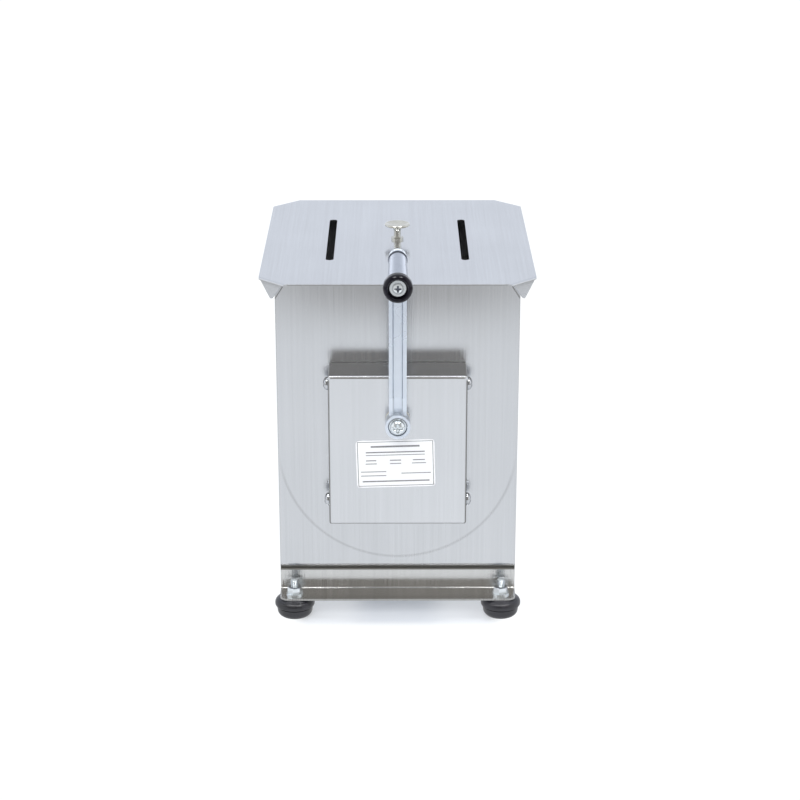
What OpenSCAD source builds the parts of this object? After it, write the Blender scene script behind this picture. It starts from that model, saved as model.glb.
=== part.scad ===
// Hand cranked meat mixer: a round bottomed trough between two end panels, with a
// lift-off lid, a crank that drives a paddle shaft through one pair of spur gears,
// and four rubber feet. The crank side faces -Y and the floor is at z = 0.

/* [Tub] */
// Width of the two end panels
panel_w = 240; // [220:1:280]
// Length of the tub over the outer faces of the end panels
tub_len = 291; // [260:1:340]
// Height of the tub's upper edge above the floor
tub_top_z = 352.6; // [345:0.1:380]
// Sheet thickness of the end panels
panel_t = 1.5; // [1:0.1:2.5]
// Sheet thickness of the trough
trough_t = 1.2; // [0.8:0.1:2]
// Distance of the trough's side walls from the panel edges
trough_inset = 1; // [0.5:0.1:4]
// Height of the mixing shaft, the centre of the round bottom
shaft_z = 178; // [172:0.5:190]
// Width of the turned-out rim on the trough's long sides
rim_w = 5; // [3:0.5:6]
// Bend radius of the rim, outer side
rim_bend_r = 2.5; // [2.2:0.1:3]
// Height of the panel's rolled lower edge
panel_low_z = 43; // [40:0.5:50]
// Outer radius of the rolled lower edge
panel_bend_r = 9; // [4:0.5:10]
// Depth of the inward flange at the panel's lower edge
panel_lip_d = 18; // [14:0.5:24]

/* [Foot rails and feet] */
// Height of the foot flange's upper face
rail_z = 23; // [21:0.5:26]
// Sheet thickness of the foot rails
rail_t = 2; // [1.5:0.1:3]
// Reach of the foot flange in front of the panel
rail_d = 26; // [24:0.5:32]
// Set-back of the rail's upright leg behind the panel face
rail_set = 1.5; // [1:0.5:6]
// Inner bend radius of the rail
rail_bend_r = 1; // [0.5:0.1:3]
// Corner radius of the foot flange
rail_corner_r = 9; // [4:0.5:12]
// Distance of the foot studs from the panel edges
stud_inset = 14.8; // [12:0.1:22]
// Distance of the foot studs in front of the panel
stud_p = 13; // [11:0.5:15]
// Diameter of the foot studs
stud_d = 8; // [6:0.5:10]
// Height of the studs above the foot flange
stud_rise = 16; // [12:0.5:22]
// Depth of the studs in the rubber
stud_sink = 13; // [8:0.5:15]
// Largest diameter of a foot
foot_d = 40.5; // [34:0.5:46]
// Diameter of a foot where it meets the floor
foot_low_d = 22; // [18:0.5:26]
// Diameter of a foot where it meets the flange
foot_top_d = 27; // [22:0.5:32]

/* [Fasteners] */
// Nut width over the flats, for the foot studs
nut_af = 13; // [11:0.5:17]
// Nut height, for the foot studs
nut_h = 6.5; // [5:0.5:9]
// Washer diameter, for the foot studs
washer_d = 17; // [14:0.5:20]
// Washer thickness, for the foot studs and the crank bolt
washer_t = 1.6; // [1:0.1:2.5]
// Diameter of the small studs that hold the bearing plate
small_stud_d = 5; // [4:0.5:6]
// Nut width over the flats, for the small studs
small_nut_af = 8; // [7:0.5:10]
// Nut height, for the small studs
small_nut_h = 4; // [3:0.5:5]

/* [Gear train] */
// Tooth module of the gear pair
gear_module = 2; // [1.8:0.05:2.1]
// Teeth of the pinion on the crank shaft
pinion_teeth = 15; // [14:1:16]
// Teeth of the drive gear on the mixing shaft
gear_teeth = 30; // [28:1:32]
// Pressure angle of the teeth
pressure_angle = 20; // [18:1:22]
// Thinning of each tooth for backlash
backlash = 0.25; // [0.15:0.05:0.4]
// Face width of the drive gear
gear_w = 12; // [8:0.5:14]
// Extra face width of the pinion
pinion_extra = 2; // [0:0.5:4]
// Distance of the gears from the end panel
gear_p = 11; // [10:0.5:13]
// Hub diameter of the drive gear
gear_hub_d = 28; // [24:0.5:34]
// Hub length of the drive gear, in front of its teeth
gear_hub_l = 9; // [7:0.5:10]
// Hub diameter of the pinion
pinion_hub_d = 22; // [20:0.5:24]
// Hub length of the pinion, in front of its teeth
pinion_hub_l = 7; // [6:0.5:8]
// Web thickness of the drive gear inside its rim
gear_web_t = 6; // [4:0.5:8]
// Diameter of the pins that lock the gears on their shafts
gear_pin_d = 4; // [3:0.5:5]
// Thickness of the bearing plate
plate_t = 5; // [3:0.5:6]
// Width of the bearing plate
plate_w = 104; // [96:1:116]
// Height of the bearing plate
plate_h = 120; // [112:1:128]
// Distance of the plate's studs from its edges
plate_stud_inset = 10; // [8:0.5:13]

/* [Gear cover] */
// Width of the gear cover
cover_w = 136; // [126:1:150]
// Height of the gear cover
cover_h = 156.4; // [146:0.1:166]
// Depth of the gear cover
cover_d = 42; // [40:0.5:46]
// Height of the cover's lower edge above the floor
cover_low_z = 112.3; // [105:0.1:116]
// Sheet thickness of the cover
cover_t = 1.2; // [0.8:0.1:2]
// Edge radius of the cover
cover_r = 3; // [2.2:0.1:5]
// Distance of the upper screws below the cover's top
cover_screw_top = 16; // [12:0.5:20]
// Distance of the lower screws above the cover's bottom
cover_screw_low = 17.5; // [14:0.5:26]
// Distance of the cover screws from the end panel
cover_screw_p = 18; // [14:0.5:24]
// Head diameter of the cover screws
cover_screw_head_d = 13; // [9:0.5:14]
// Head height of the cover screws
cover_screw_head_h = 5.6; // [3:0.1:6]
// Thread diameter of the cover screws
cover_screw_d = 5; // [4:0.5:6]
// Length of the cover screws under the head
cover_screw_l = 12; // [9:0.5:14]
// Sheet thickness of the brackets behind the cover's walls
bracket_t = 2; // [1.5:0.1:3]
// Depth of the brackets
bracket_d = 30; // [26:0.5:34]
// Width of the bracket's foot on the panel
bracket_foot = 9; // [7:0.5:11]

/* [Shafts] */
// Diameter of the crank shaft
crank_shaft_d = 14; // [12:0.5:15]
// Width of the square on the crank shaft's outer end
crank_square = 9.5; // [8.5:0.5:10]
// Wall of the bushes
bush_wall = 3; // [2:0.5:4]
// Flange thickness of the bushes
bush_flange_t = 2; // [1.5:0.5:3]
// Flange width of the bushes outside their barrel
bush_flange_w = 2.2; // [1.6:0.1:3]
// Diameter of the drive stub
stub_d = 16; // [14:0.5:18]
// Reach of the drive stub into the tub
stub_reach = 46; // [40:1:60]
// Thickness of the seal ring in the tub
seal_t = 4; // [3:0.5:6]
// Radial width of the seal ring
seal_w = 5; // [4:0.5:7]
// Diameter of the coupling pin
coupling_pin_d = 6; // [5:0.5:8]
// Outer diameter of the mixing shaft
mixing_d = 26; // [24:0.5:32]
// Gap between the mixing shaft and the seal or the rear panel
mixing_end_gap = 1; // [0.5:0.5:3]
// Nose diameter of the rear thumb screw
pivot_nose_d = 11; // [9:0.5:12]
// Nose length of the rear thumb screw inside the mixing shaft
pivot_nose_l = 22; // [16:0.5:30]
// Thread diameter of the rear thumb screw
pivot_thread_d = 15; // [14:0.5:18]
// Diameter of the weld boss on the rear panel
rear_boss_d = 32; // [28:0.5:40]
// Length of the weld boss
rear_boss_l = 10; // [8:0.5:14]
// Head diameter of the rear thumb screw
pivot_head_d = 34; // [30:0.5:38]
// Head thickness of the rear thumb screw
pivot_head_t = 11; // [8:0.5:14]
// Finger grooves round the thumb screw's head
pivot_flutes = 12; // [8:1:16]

/* [Paddles] */
// Radius that the paddle tips sweep
paddle_r = 112; // [104:0.5:114]
// Diameter of the paddle arms
paddle_arm_d = 10; // [8:0.5:12]
// Thickness of the paddle blades
blade_t = 3; // [2:0.5:4]
// Radial height of the blades
blade_h = 46; // [36:1:56]
// Width of the blades
blade_w = 48; // [36:1:56]
// Corner radius of the blades
blade_corner_r = 8; // [4:0.5:12]
// Angle of the blades against the shaft
blade_angle = 40; // [25:1:55]
// Distance of the first and last paddle from the tub's ends
paddle_end = 42; // [38:1:56]

/* [Crank] */
// Radius of the crank, shaft axis to grip axis
crank_r = 168.8; // [150:0.1:190]
// Width of the crank arm
arm_w = 17.2; // [15:0.1:20]
// Thickness of the crank arm
arm_t = 7.5; // [6:0.5:9]
// Width of the raised rims along the arm
arm_rim = 3.5; // [2.5:0.1:4]
// Depth of the channel between the rims
arm_channel = 2.5; // [1.5:0.1:3.5]
// Width of the channel's sloping walls
arm_draft = 1.2; // [0.4:0.1:1.6]
// Front of the arm's straight length, from the end panel
arm_p = 62; // [60:0.5:68]
// Step of the arm between its straight length and the boss
arm_step = 4; // [2:0.5:8]
// Height above the crank axis where the step ends
arm_step_z = 30; // [27:0.5:40]
// Diameter of the boss on the crank shaft
boss_d = 24.6; // [22:0.1:28]
// Depth of the dish in the boss, for the washer
boss_dish = 3; // [1:0.1:3.5]
// Gap between the boss and the cover's bush
boss_gap = 1; // [0.5:0.1:2]
// Diameter of the crank bolt's thread
crank_bolt_d = 6; // [5:0.5:6.5]
// Length of the crank bolt's thread
crank_bolt_l = 26; // [22:1:32]
// Head diameter of the crank bolt
crank_bolt_head_d = 14.5; // [10:0.5:15]
// Head height of the crank bolt
crank_bolt_head_h = 6.4; // [2.5:0.1:7]
// Diameter of the washer under the crank bolt
crank_washer_d = 16.5; // [15:0.5:19]

/* [Grip] */
// Length of the grip
grip_l = 98; // [80:1:120]
// Sleeve diameter next to the arm
grip_near_d = 17; // [15:0.5:18]
// Sleeve diameter at the end cap
grip_far_d = 19.5; // [18:0.5:22]
// Diameter of the end cap
cap_d = 27; // [24:0.2:30]
// Length of the end cap
cap_l = 12; // [9:0.5:16]
// Wall of the end cap round its recess
cap_wall = 4.2; // [3.5:0.1:5]
// Depth of the recess in the end cap
cap_recess = 6; // [5:0.5:7]
// Diameter of the spindle inside the grip
spindle_d = 10; // [8:0.5:11]
// Gap between the arm and the grip
grip_gap = 0.6; // [0.3:0.1:1.5]
// Diameter of the washer in the cap's recess
grip_washer_d = 15; // [13:0.5:16]
// Thickness of the washer in the cap's recess
grip_washer_t = 1; // [0.8:0.1:1.5]
// Head diameter of the grip screw
grip_screw_head_d = 10; // [7:0.5:11]
// Head height of the grip screw
grip_screw_head_h = 3; // [2:0.1:3.5]
// Thread diameter of the grip screw
grip_screw_d = 5; // [4:0.5:6]
// Length of the grip screw's thread
grip_screw_l = 14; // [10:1:18]

/* [Lid] */
// Overhang of the lid beyond the panels' edges
lid_side = 16; // [14:0.25:20]
// Overhang of the lid in front of the front panel and behind the rear one
lid_end = 16; // [14:0.25:20]
// Sheet thickness of the lid
lid_t = 1.2; // [0.8:0.1:2]
// Leg length of the folded corners
fold_leg = 24.5; // [24:0.5:28]
// Outer bend radius of the folded corners
fold_r = 2.5; // [2.1:0.1:3]
// Radius of the rounded apex of a folded corner
fold_apex_r = 2.5; // [2:0.5:6]
// Extra depth of a folded corner's apex
fold_drop = 2.2; // [0:0.1:4]
// Length of the slots
slot_l = 156; // [100:1:180]
// Width of the slots
slot_w = 8; // [6:0.5:12]
// Distance of the slots from the lid's centre line
slot_x = 68.3; // [50:0.1:85]
// Disc diameter of the lid knob
knob_d = 26.2; // [24:0.2:32]
// Height of the lid knob
knob_h = 17.2; // [16.6:0.2:26]
// Diameter of the knob's foot collar
knob_collar_d = 12.7; // [11:0.1:16]
// Diameter of the knob's neck
knob_neck_d = 7.4; // [7:0.1:9]
// Thread diameter of the knob's screw
knob_screw_d = 4; // [3:0.5:4.5]
// Length of the knob's screw
knob_screw_l = 12; // [9:0.5:15]
// Head diameter of the knob's screw
knob_screw_head_d = 8; // [7:0.5:10]
// Head height of the knob's screw
knob_screw_head_h = 2.6; // [2:0.1:3.5]

/* [Fits] */
// Radial clearance of the running fits
run_gap = 0.06; // [0.03:0.01:0.09]
// Radial clearance of the fixed fits
fit_gap = 0.05; // [0.02:0.01:0.09]
// Radial clearance of the bolt holes
hole_gap = 0.3; // [0.2:0.05:0.5]

/* [Hidden] */
$fn = 64;

// A cut runs this far past the faces that it opens
past = 1;

// Gear pair
pinion_pitch_r = gear_module * pinion_teeth / 2;
gear_pitch_r = gear_module * gear_teeth / 2;
crank_z = shaft_z + pinion_pitch_r + gear_pitch_r;
gear_end_p = gear_p + gear_w;
pinion_end_p = gear_end_p + pinion_extra;

// Reach of the whole object along Y, counted from the front panel's face
boss_p = cover_d + bush_flange_t + boss_gap;
grip_p = arm_p + grip_gap;
grip_end_p = grip_p + grip_l;
foot_reach = stud_p + foot_d / 2;
pivot_reach = rear_boss_l + pivot_head_t;
rear_reach = max(foot_reach, rail_d, pivot_reach, lid_end);
front_y = (grip_end_p - tub_len - rear_reach) / 2;
rear_y = front_y + tub_len;
tub_y = (front_y + rear_y) / 2;

// Trough and rims
trough_r = panel_w / 2 - trough_inset;
trough_len = tub_len - 2 * panel_t;
lid_w = panel_w + 2 * lid_side;
lid_l = tub_len + 2 * lid_end;
fold_sum = (lid_w + lid_l) / 2 - fold_leg;
rim_reach = trough_r + rim_w;
rim_corner_gap = 3;
rim_len = min(trough_len, 2 * (fold_sum - rim_reach - rim_corner_gap * sqrt(2)));

// Feet
stud_x = panel_w / 2 - stud_inset;
foot_h = rail_z - rail_t;
washer_hole_r = stud_d / 2 + hole_gap;

// Bearing plate, centred on the gear pair
plate_z = (shaft_z + crank_z) / 2;
plate_stud_x = plate_w / 2 - plate_stud_inset;
plate_stud_z = plate_h / 2 - plate_stud_inset;
cover_mid_z = cover_low_z + cover_h / 2;
cover_screw_zs = [cover_low_z + cover_screw_low, cover_low_z + cover_h - cover_screw_top];
bracket_low_z = cover_low_z + cover_screw_low / 2;
bracket_high_z = cover_low_z + cover_h - cover_screw_top / 2;

// Shafts
crank_bore_r = crank_shaft_d / 2 + run_gap;
crank_bush_r = crank_shaft_d / 2 + bush_wall;
stub_bore_r = stub_d / 2 + run_gap;
stub_bush_r = stub_d / 2 + bush_wall;
seal_p = -panel_t - bush_flange_t;
mixing_front_p = seal_p - seal_t - mixing_end_gap;
mixing_end_p = panel_t - tub_len + mixing_end_gap;
mixing_bore_r = stub_d / 2 + fit_gap;
coupling_p = (mixing_front_p - panel_t - stub_reach) / 2;
clip_t = 1.5;
clip_w = 4;
gear_hub_end_p = gear_end_p + gear_hub_l;
stub_end_p = gear_hub_end_p + 2 * clip_t + past;

// Crank
boss_end_p = arm_p;
boss_seat_p = boss_end_p - boss_dish;
cap_p = grip_end_p - cap_l;
recess_p = grip_end_p - cap_recess;
spindle_end_p = recess_p + run_gap;

function arc(cx, cy, r, a0, a1, n) = [
    for (i = [0:n]) [cx + r * cos(a0 + (a1 - a0) * i / n), cy + r * sin(a0 + (a1 - a0) * i / n)]
];

// Involute teeth: at radius r the flank stands half_angle(r) from the tooth's middle
function inv(a) = tan(a) * 180 / PI - a;
function half_angle(r, teeth, base_r) =
    90 / teeth - backlash / (gear_module * teeth) * 180 / PI
    + inv(pressure_angle) - inv(acos(min(1, base_r / r)));
function polar(r, a) = [r * cos(a), r * sin(a)];
flank_steps = 6;
function flank_r(i, base_r, tip_r) = base_r + (tip_r - base_r) * i / flank_steps;
function tooth(a, teeth, base_r, root_r, tip_r) = concat(
    [polar(root_r, a - half_angle(base_r, teeth, base_r))],
    [for (i = [0:flank_steps])
        let (r = flank_r(i, base_r, tip_r)) polar(r, a - half_angle(r, teeth, base_r))],
    [for (i = [flank_steps:-1:0])
        let (r = flank_r(i, base_r, tip_r)) polar(r, a + half_angle(r, teeth, base_r))],
    [polar(root_r, a + half_angle(base_r, teeth, base_r))]
);
root_clearance = 1.25;
function gear_outline(teeth, first) =
    let (pitch_r = gear_module * teeth / 2)
    let (base_r = pitch_r * cos(pressure_angle))
    let (root_r = pitch_r - root_clearance * gear_module)
    let (tip_r = pitch_r + gear_module)
    [for (k = [0:teeth - 1]) each tooth(first + 360 * k / teeth, teeth, base_r, root_r, tip_r)];

// The two ends of the tub. Inside, outward is -Y from the panel's face.
module at_front() {
    translate([0, front_y, 0]) children();
}

module at_rear() {
    translate([0, rear_y, 0]) rotate([0, 0, 180]) children();
}

// Inside these two, x is across, y is height and z is the distance outward from the panel
module front_face() {
    at_front() rotate([90, 0, 0]) children();
}

module rear_face() {
    at_rear() rotate([90, 0, 0]) children();
}

// A round bar or ring along the outward axis, from one distance to another
module bar(r, p0, p1) {
    translate([0, 0, p0]) cylinder(r = r, h = p1 - p0);
}

module ring(r, bore_r, p0, p1) {
    difference() {
        bar(r, p0, p1);
        bar(bore_r, p0 - past, p1 + past);
    }
}

module hexagon(af, h) {
    cylinder(d = af / cos(30), h = h, $fn = 6);
}

module rounded_rect(w, h, r) {
    square([w - 2 * r, h], center = true);
    square([w, h - 2 * r], center = true);
    for (sx = [-1, 1], sy = [-1, 1]) translate([sx * (w / 2 - r), sy * (h / 2 - r)]) circle(r);
}

// A rectangle from y = 0 to y = d with its two far corners rounded
module tongue(w, d, r) {
    translate([-w / 2, 0]) square([w, d - r]);
    translate([r - w / 2, 0]) square([w - 2 * r, d]);
    for (sx = [-1, 1]) translate([sx * (w / 2 - r), d - r]) circle(r);
}

// A profile drawn as [distance outward, height], carried across the width
module across(w) {
    rotate([90, 0, -90]) linear_extrude(w, center = true) children();
}

// A quarter ring, drawn in the quadrant where both coordinates are negative
module quarter_bend(r, t) {
    intersection() {
        difference() {
            circle(r);
            circle(r - t);
        }
        translate([-r, -r]) square(r);
    }
}

module end_panel() {
    bend_z = panel_low_z + panel_bend_r;
    across(panel_w) {
        translate([-panel_t, bend_z]) square([panel_t, tub_top_z - bend_z]);
        translate([-panel_bend_r, bend_z]) mirror([1, 0]) quarter_bend(panel_bend_r, panel_t);
        translate([-panel_lip_d, panel_low_z]) square([panel_lip_d - panel_bend_r, panel_t]);
    }
}

module front_panel() {
    color([0.78, 0.79, 0.81]) difference() {
        at_front() end_panel();
        front_face() translate([0, shaft_z, 0]) bar(stub_bush_r + fit_gap, -panel_t - past, past);
    }
}

module rear_panel() {
    color([0.78, 0.79, 0.81]) difference() {
        at_rear() end_panel();
        rear_face() translate([0, shaft_z, 0]) bar(pivot_thread_d / 2 + hole_gap, -panel_t - past, past);
    }
}

module trough_profile() {
    intersection() {
        difference() {
            circle(trough_r);
            circle(trough_r - trough_t);
        }
        translate([-trough_r, -trough_r]) square([2 * trough_r, trough_r]);
    }
    for (s = [0, 1]) mirror([s, 0]) translate([trough_r - trough_t, 0])
        square([trough_t, tub_top_z - shaft_z - rim_bend_r]);
}

module rim_profile() {
    rise = tub_top_z - shaft_z;
    bend_x = trough_r - trough_t + rim_bend_r;
    for (s = [0, 1]) mirror([s, 0]) {
        translate([bend_x, rise - rim_bend_r]) mirror([0, 1]) quarter_bend(rim_bend_r, trough_t);
        translate([bend_x, rise - trough_t]) square([rim_reach - bend_x, trough_t]);
    }
}

module trough() {
    color([0.75, 0.76, 0.78]) translate([0, tub_y, shaft_z]) rotate([90, 0, 0]) {
        linear_extrude(trough_len, center = true) trough_profile();
        linear_extrude(rim_len, center = true) rim_profile();
    }
}

// The rail's upright leg ends where its back meets the panel's rolled edge
module foot_rail() {
    bend_p = rail_bend_r - rail_set;
    bend_z = rail_z + rail_bend_r;
    roll_in = max(0, panel_bend_r - rail_set - rail_t);
    leg_top_z = panel_low_z + panel_bend_r - sqrt(pow(panel_bend_r, 2) - pow(roll_in, 2));
    difference() {
        union() {
            across(panel_w) {
                translate([-rail_set - rail_t, bend_z]) square([rail_t, leg_top_z - bend_z]);
                translate([bend_p, bend_z]) quarter_bend(rail_bend_r + rail_t, rail_t);
            }
            translate([0, -bend_p, foot_h]) rotate([0, 0, 180]) linear_extrude(rail_t)
                tongue(panel_w, rail_d - bend_p, rail_corner_r);
        }
        for (s = [-1, 1]) translate([s * stud_x, -stud_p, 0])
            bar(washer_hole_r, foot_h - past, rail_z + past);
    }
}

module front_foot_rail() {
    color([0.66, 0.65, 0.64]) at_front() foot_rail();
}

module rear_foot_rail() {
    color([0.66, 0.65, 0.64]) at_rear() foot_rail();
}

// Foot: a rounded rubber puck whose wide upper half overhangs a narrower tread
module foot(x) {
    rim_r = foot_d / 2;
    tread_edge_r = 7;
    tread_angle = -15;
    groove_z = 0.55 * foot_h;
    groove_in = 1.2;
    low_r = rim_r - 1.5 * groove_in;
    lip_r = 1.5;
    shoulder_z = 0.68 * foot_h;
    shoulder_r = 5;
    shoulder_angle = 60;
    translate([x, -stud_p, 0]) difference() {
        rotate_extrude() polygon(concat(
            [[0, 0]],
            arc(foot_low_d / 2, tread_edge_r, tread_edge_r, -90, tread_angle, 8),
            [[low_r, groove_z - groove_in], [low_r - groove_in, groove_z]],
            arc(rim_r - lip_r, groove_z + lip_r, lip_r, -90, 0, 6),
            arc(rim_r - shoulder_r, shoulder_z, shoulder_r, 0, shoulder_angle, 8),
            [[foot_top_d / 2, foot_h], [0, foot_h]]
        ));
        bar(stud_d / 2 + fit_gap, foot_h - stud_sink, foot_h + past);
    }
}

module foot_front_left() {
    color([0.16, 0.16, 0.18]) at_front() foot(-stud_x);
}

module foot_front_right() {
    color([0.16, 0.16, 0.18]) at_front() foot(stud_x);
}

module foot_rear_left() {
    color([0.16, 0.16, 0.18]) at_rear() foot(stud_x);
}

module foot_rear_right() {
    color([0.16, 0.16, 0.18]) at_rear() foot(-stud_x);
}

module at_studs() {
    at_front() for (s = [-1, 1]) translate([s * stud_x, -stud_p, 0]) children();
    at_rear() for (s = [-1, 1]) translate([s * stud_x, -stud_p, 0]) children();
}

module foot_studs() {
    chamfer = 0.8;
    top_z = rail_z + stud_rise;
    color([0.86, 0.88, 0.9]) at_studs() {
        bar(stud_d / 2, foot_h - stud_sink, top_z - chamfer);
        translate([0, 0, top_z - chamfer]) cylinder(d1 = stud_d, d2 = stud_d - 2 * chamfer, h = chamfer);
    }
}

module foot_washers() {
    color([0.8, 0.81, 0.83]) at_studs() ring(washer_d / 2, washer_hole_r, rail_z, rail_z + washer_t);
}

// A hexagon nut or bolt head whose upper corners are turned off at 30 degrees
module hex_nut(af, h, bore_r) {
    crown_share = 0.96;
    crown_r = crown_share * af / 2;
    difference() {
        intersection() {
            hexagon(af, h);
            cylinder(r1 = crown_r + h / tan(30), r2 = crown_r, h = h);
        }
        bar(bore_r, -past, h + past);
    }
}

module foot_nuts() {
    color([0.88, 0.9, 0.92]) at_studs() translate([0, 0, rail_z + washer_t]) rotate([0, 0, 15])
        hex_nut(nut_af, nut_h, stud_d / 2 + fit_gap);
}

module at_plate_studs() {
    front_face() for (sx = [-1, 1], sz = [-1, 1])
        translate([sx * plate_stud_x, plate_z + sz * plate_stud_z, 0]) children();
}

module bearing_plate() {
    corner_r = 6;
    color([0.6, 0.61, 0.63]) difference() {
        front_face() translate([0, plate_z, 0]) linear_extrude(plate_t)
            rounded_rect(plate_w, plate_h, corner_r);
        front_face() translate([0, shaft_z, 0]) bar(stub_bush_r + fit_gap, -past, plate_t + past);
        front_face() translate([0, crank_z, 0]) bar(crank_bush_r + fit_gap, -past, plate_t + past);
        at_plate_studs() bar(small_stud_d / 2 + hole_gap, -past, plate_t + past);
    }
}

module plate_studs() {
    color([0.8, 0.81, 0.83]) at_plate_studs() bar(small_stud_d / 2, 0, plate_t + small_nut_h + past);
}

module plate_nuts() {
    color([0.85, 0.86, 0.88]) at_plate_studs() translate([0, 0, plate_t])
        hex_nut(small_nut_af, small_nut_h, small_stud_d / 2 + fit_gap);
}

// The two brackets stand on the panel and back the cover's side walls
module cover_brackets() {
    wall_x = cover_w / 2 - cover_t;
    color([0.7, 0.71, 0.72]) difference() {
        at_front() for (s = [0, 1]) mirror([s, 0, 0]) translate([0, 0, bracket_low_z])
            linear_extrude(bracket_high_z - bracket_low_z) {
                translate([wall_x - bracket_t, -bracket_d]) square([bracket_t, bracket_d]);
                translate([wall_x - bracket_foot, -bracket_t]) square([bracket_foot, bracket_t]);
            }
        at_cover_screws() bar(cover_screw_d / 2 + fit_gap, -cover_t - bracket_t - past, past);
    }
}

// The cover's screws, drawn with the side wall's outer face at z = 0
module at_cover_screws() {
    at_front() for (s = [-1, 1], z = cover_screw_zs)
        translate([s * cover_w / 2, -cover_screw_p, z]) rotate([0, s * 90, 0]) children();
}

// A low dome on a short rim, the head of a pan screw
module pan_head(d, h) {
    rim_share = 0.25;
    rim = rim_share * h;
    rotate_extrude() polygon(concat(
        [[0, 0], [d / 2, 0]],
        [for (a = [0:10:90]) [d / 2 * cos(a), rim + (h - rim) * sin(a)]]
    ));
}

module cover_screws() {
    color([0.85, 0.86, 0.88]) at_cover_screws() {
        pan_head(cover_screw_head_d, cover_screw_head_h);
        bar(cover_screw_d / 2, -cover_screw_l, 0);
    }
}

// A box from z = 0 to z = d whose far edges and four long edges are rounded
module rounded_box(w, h, d, r) {
    intersection() {
        linear_extrude(d) rounded_rect(w, h, r);
        rotate([90, 0, 0]) linear_extrude(h, center = true) tongue(w, d, r);
        rotate([90, 0, 90]) linear_extrude(w, center = true) tongue(h, d, r);
    }
}

module gear_cover() {
    inner_w = cover_w - 2 * cover_t;
    inner_h = cover_h - 2 * cover_t;
    color([0.81, 0.82, 0.83]) difference() {
        front_face() translate([0, cover_mid_z, 0]) difference() {
            rounded_box(cover_w, cover_h, cover_d, cover_r);
            translate([0, 0, -past])
                rounded_box(inner_w, inner_h, cover_d - cover_t + past, cover_r - cover_t);
        }
        front_face() translate([0, crank_z, 0])
            bar(crank_bush_r + fit_gap, cover_d - cover_t - past, cover_d + past);
        at_cover_screws() bar(cover_screw_d / 2 + hole_gap, -cover_t - past, past);
    }
}

// A bush with its flange between p0 and p1 and its barrel between b0 and b1
module flanged_bush(bore_r, p0, p1, b0, b1) {
    difference() {
        union() {
            bar(bore_r - run_gap + bush_wall + bush_flange_w, p0, p1);
            bar(bore_r - run_gap + bush_wall, b0, b1);
        }
        bar(bore_r, min(p0, b0) - past, max(p1, b1) + past);
    }
}

module cover_bush() {
    inner_l = 5;
    color([0.85, 0.84, 0.8]) front_face() translate([0, crank_z, 0])
        flanged_bush(crank_bore_r, cover_d, cover_d + bush_flange_t, cover_d - cover_t - inner_l, cover_d);
}

module crank_bush() {
    color([0.85, 0.84, 0.8]) front_face() translate([0, crank_z, 0])
        flanged_bush(crank_bore_r, plate_t, plate_t + bush_flange_t, 0, plate_t);
}

module front_shaft_bush() {
    color([0.85, 0.84, 0.8]) front_face() translate([0, shaft_z, 0])
        flanged_bush(stub_bore_r, -panel_t - bush_flange_t, -panel_t, -panel_t, plate_t + bush_flange_t);
}

module shaft_seal() {
    color([0.2, 0.2, 0.2]) front_face() translate([0, shaft_z, 0])
        ring(stub_d / 2 + seal_w, stub_bore_r, seal_p - seal_t, seal_p);
}

module rear_boss() {
    color([0.72, 0.73, 0.75]) rear_face() translate([0, shaft_z, 0])
        ring(rear_boss_d / 2, pivot_thread_d / 2 + fit_gap, 0, rear_boss_l);
}

// Thumb screw: its thread fills the boss and its nose carries the mixing shaft
module rear_pivot() {
    flute_r = 2.6;
    flute_out = 1;
    nose_end_p = -panel_t - mixing_end_gap - pivot_nose_l;
    color([0.8, 0.81, 0.83]) rear_face() translate([0, shaft_z, 0]) {
        bar(pivot_nose_d / 2, nose_end_p, -panel_t);
        bar(pivot_thread_d / 2, -panel_t, rear_boss_l);
        difference() {
            bar(pivot_head_d / 2, rear_boss_l, rear_boss_l + pivot_head_t);
            for (k = [0:pivot_flutes - 1]) rotate([0, 0, 360 * k / pivot_flutes])
                translate([pivot_head_d / 2 + flute_out, 0, 0])
                    bar(flute_r, rear_boss_l - past, rear_boss_l + pivot_head_t + past);
        }
    }
}

module lid_outline() {
    corner = fold_leg + fold_r * sqrt(2);
    x = lid_w / 2;
    y = lid_l / 2;
    polygon([
        [x, corner - y], [x, y - corner], [x - corner, y], [corner - x, y],
        [-x, y - corner], [-x, corner - y], [corner - x, -y], [x - corner, -y]
    ]);
}

module lid_slot() {
    run = slot_l - slot_w;
    square([slot_w, run], center = true);
    for (s = [-1, 1]) translate([0, s * run / 2]) circle(d = slot_w);
}

// One folded corner: its bend, then the flap down to its rounded apex.
// Drawn with the fold along y, outward along x and the lid's upper face at z = 0.
module folded_corner() {
    half = fold_leg / sqrt(2);
    top = half - fold_r;
    tip_z = -half - fold_drop;
    edge_angle = atan2(-fold_r - tip_z, top);
    apex_x = fold_apex_r * sin(edge_angle);
    apex_z = tip_z + fold_apex_r * (1 / cos(edge_angle) - cos(edge_angle));
    apex_mid_z = tip_z + fold_apex_r / cos(edge_angle);
    rotate([90, 0, 0]) linear_extrude(4 * half, center = true) {
        translate([-fold_r, -fold_r]) rotate(180) quarter_bend(fold_r, lid_t);
        translate([-fold_r - lid_t, -lid_t]) square(lid_t);
    }
    rotate([90, 0, 90]) translate([0, 0, -lid_t]) linear_extrude(lid_t) {
        polygon([[-top, -fold_r], [top, -fold_r], [apex_x, apex_z], [-apex_x, apex_z]]);
        translate([0, apex_mid_z]) circle(fold_apex_r);
    }
}

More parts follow.
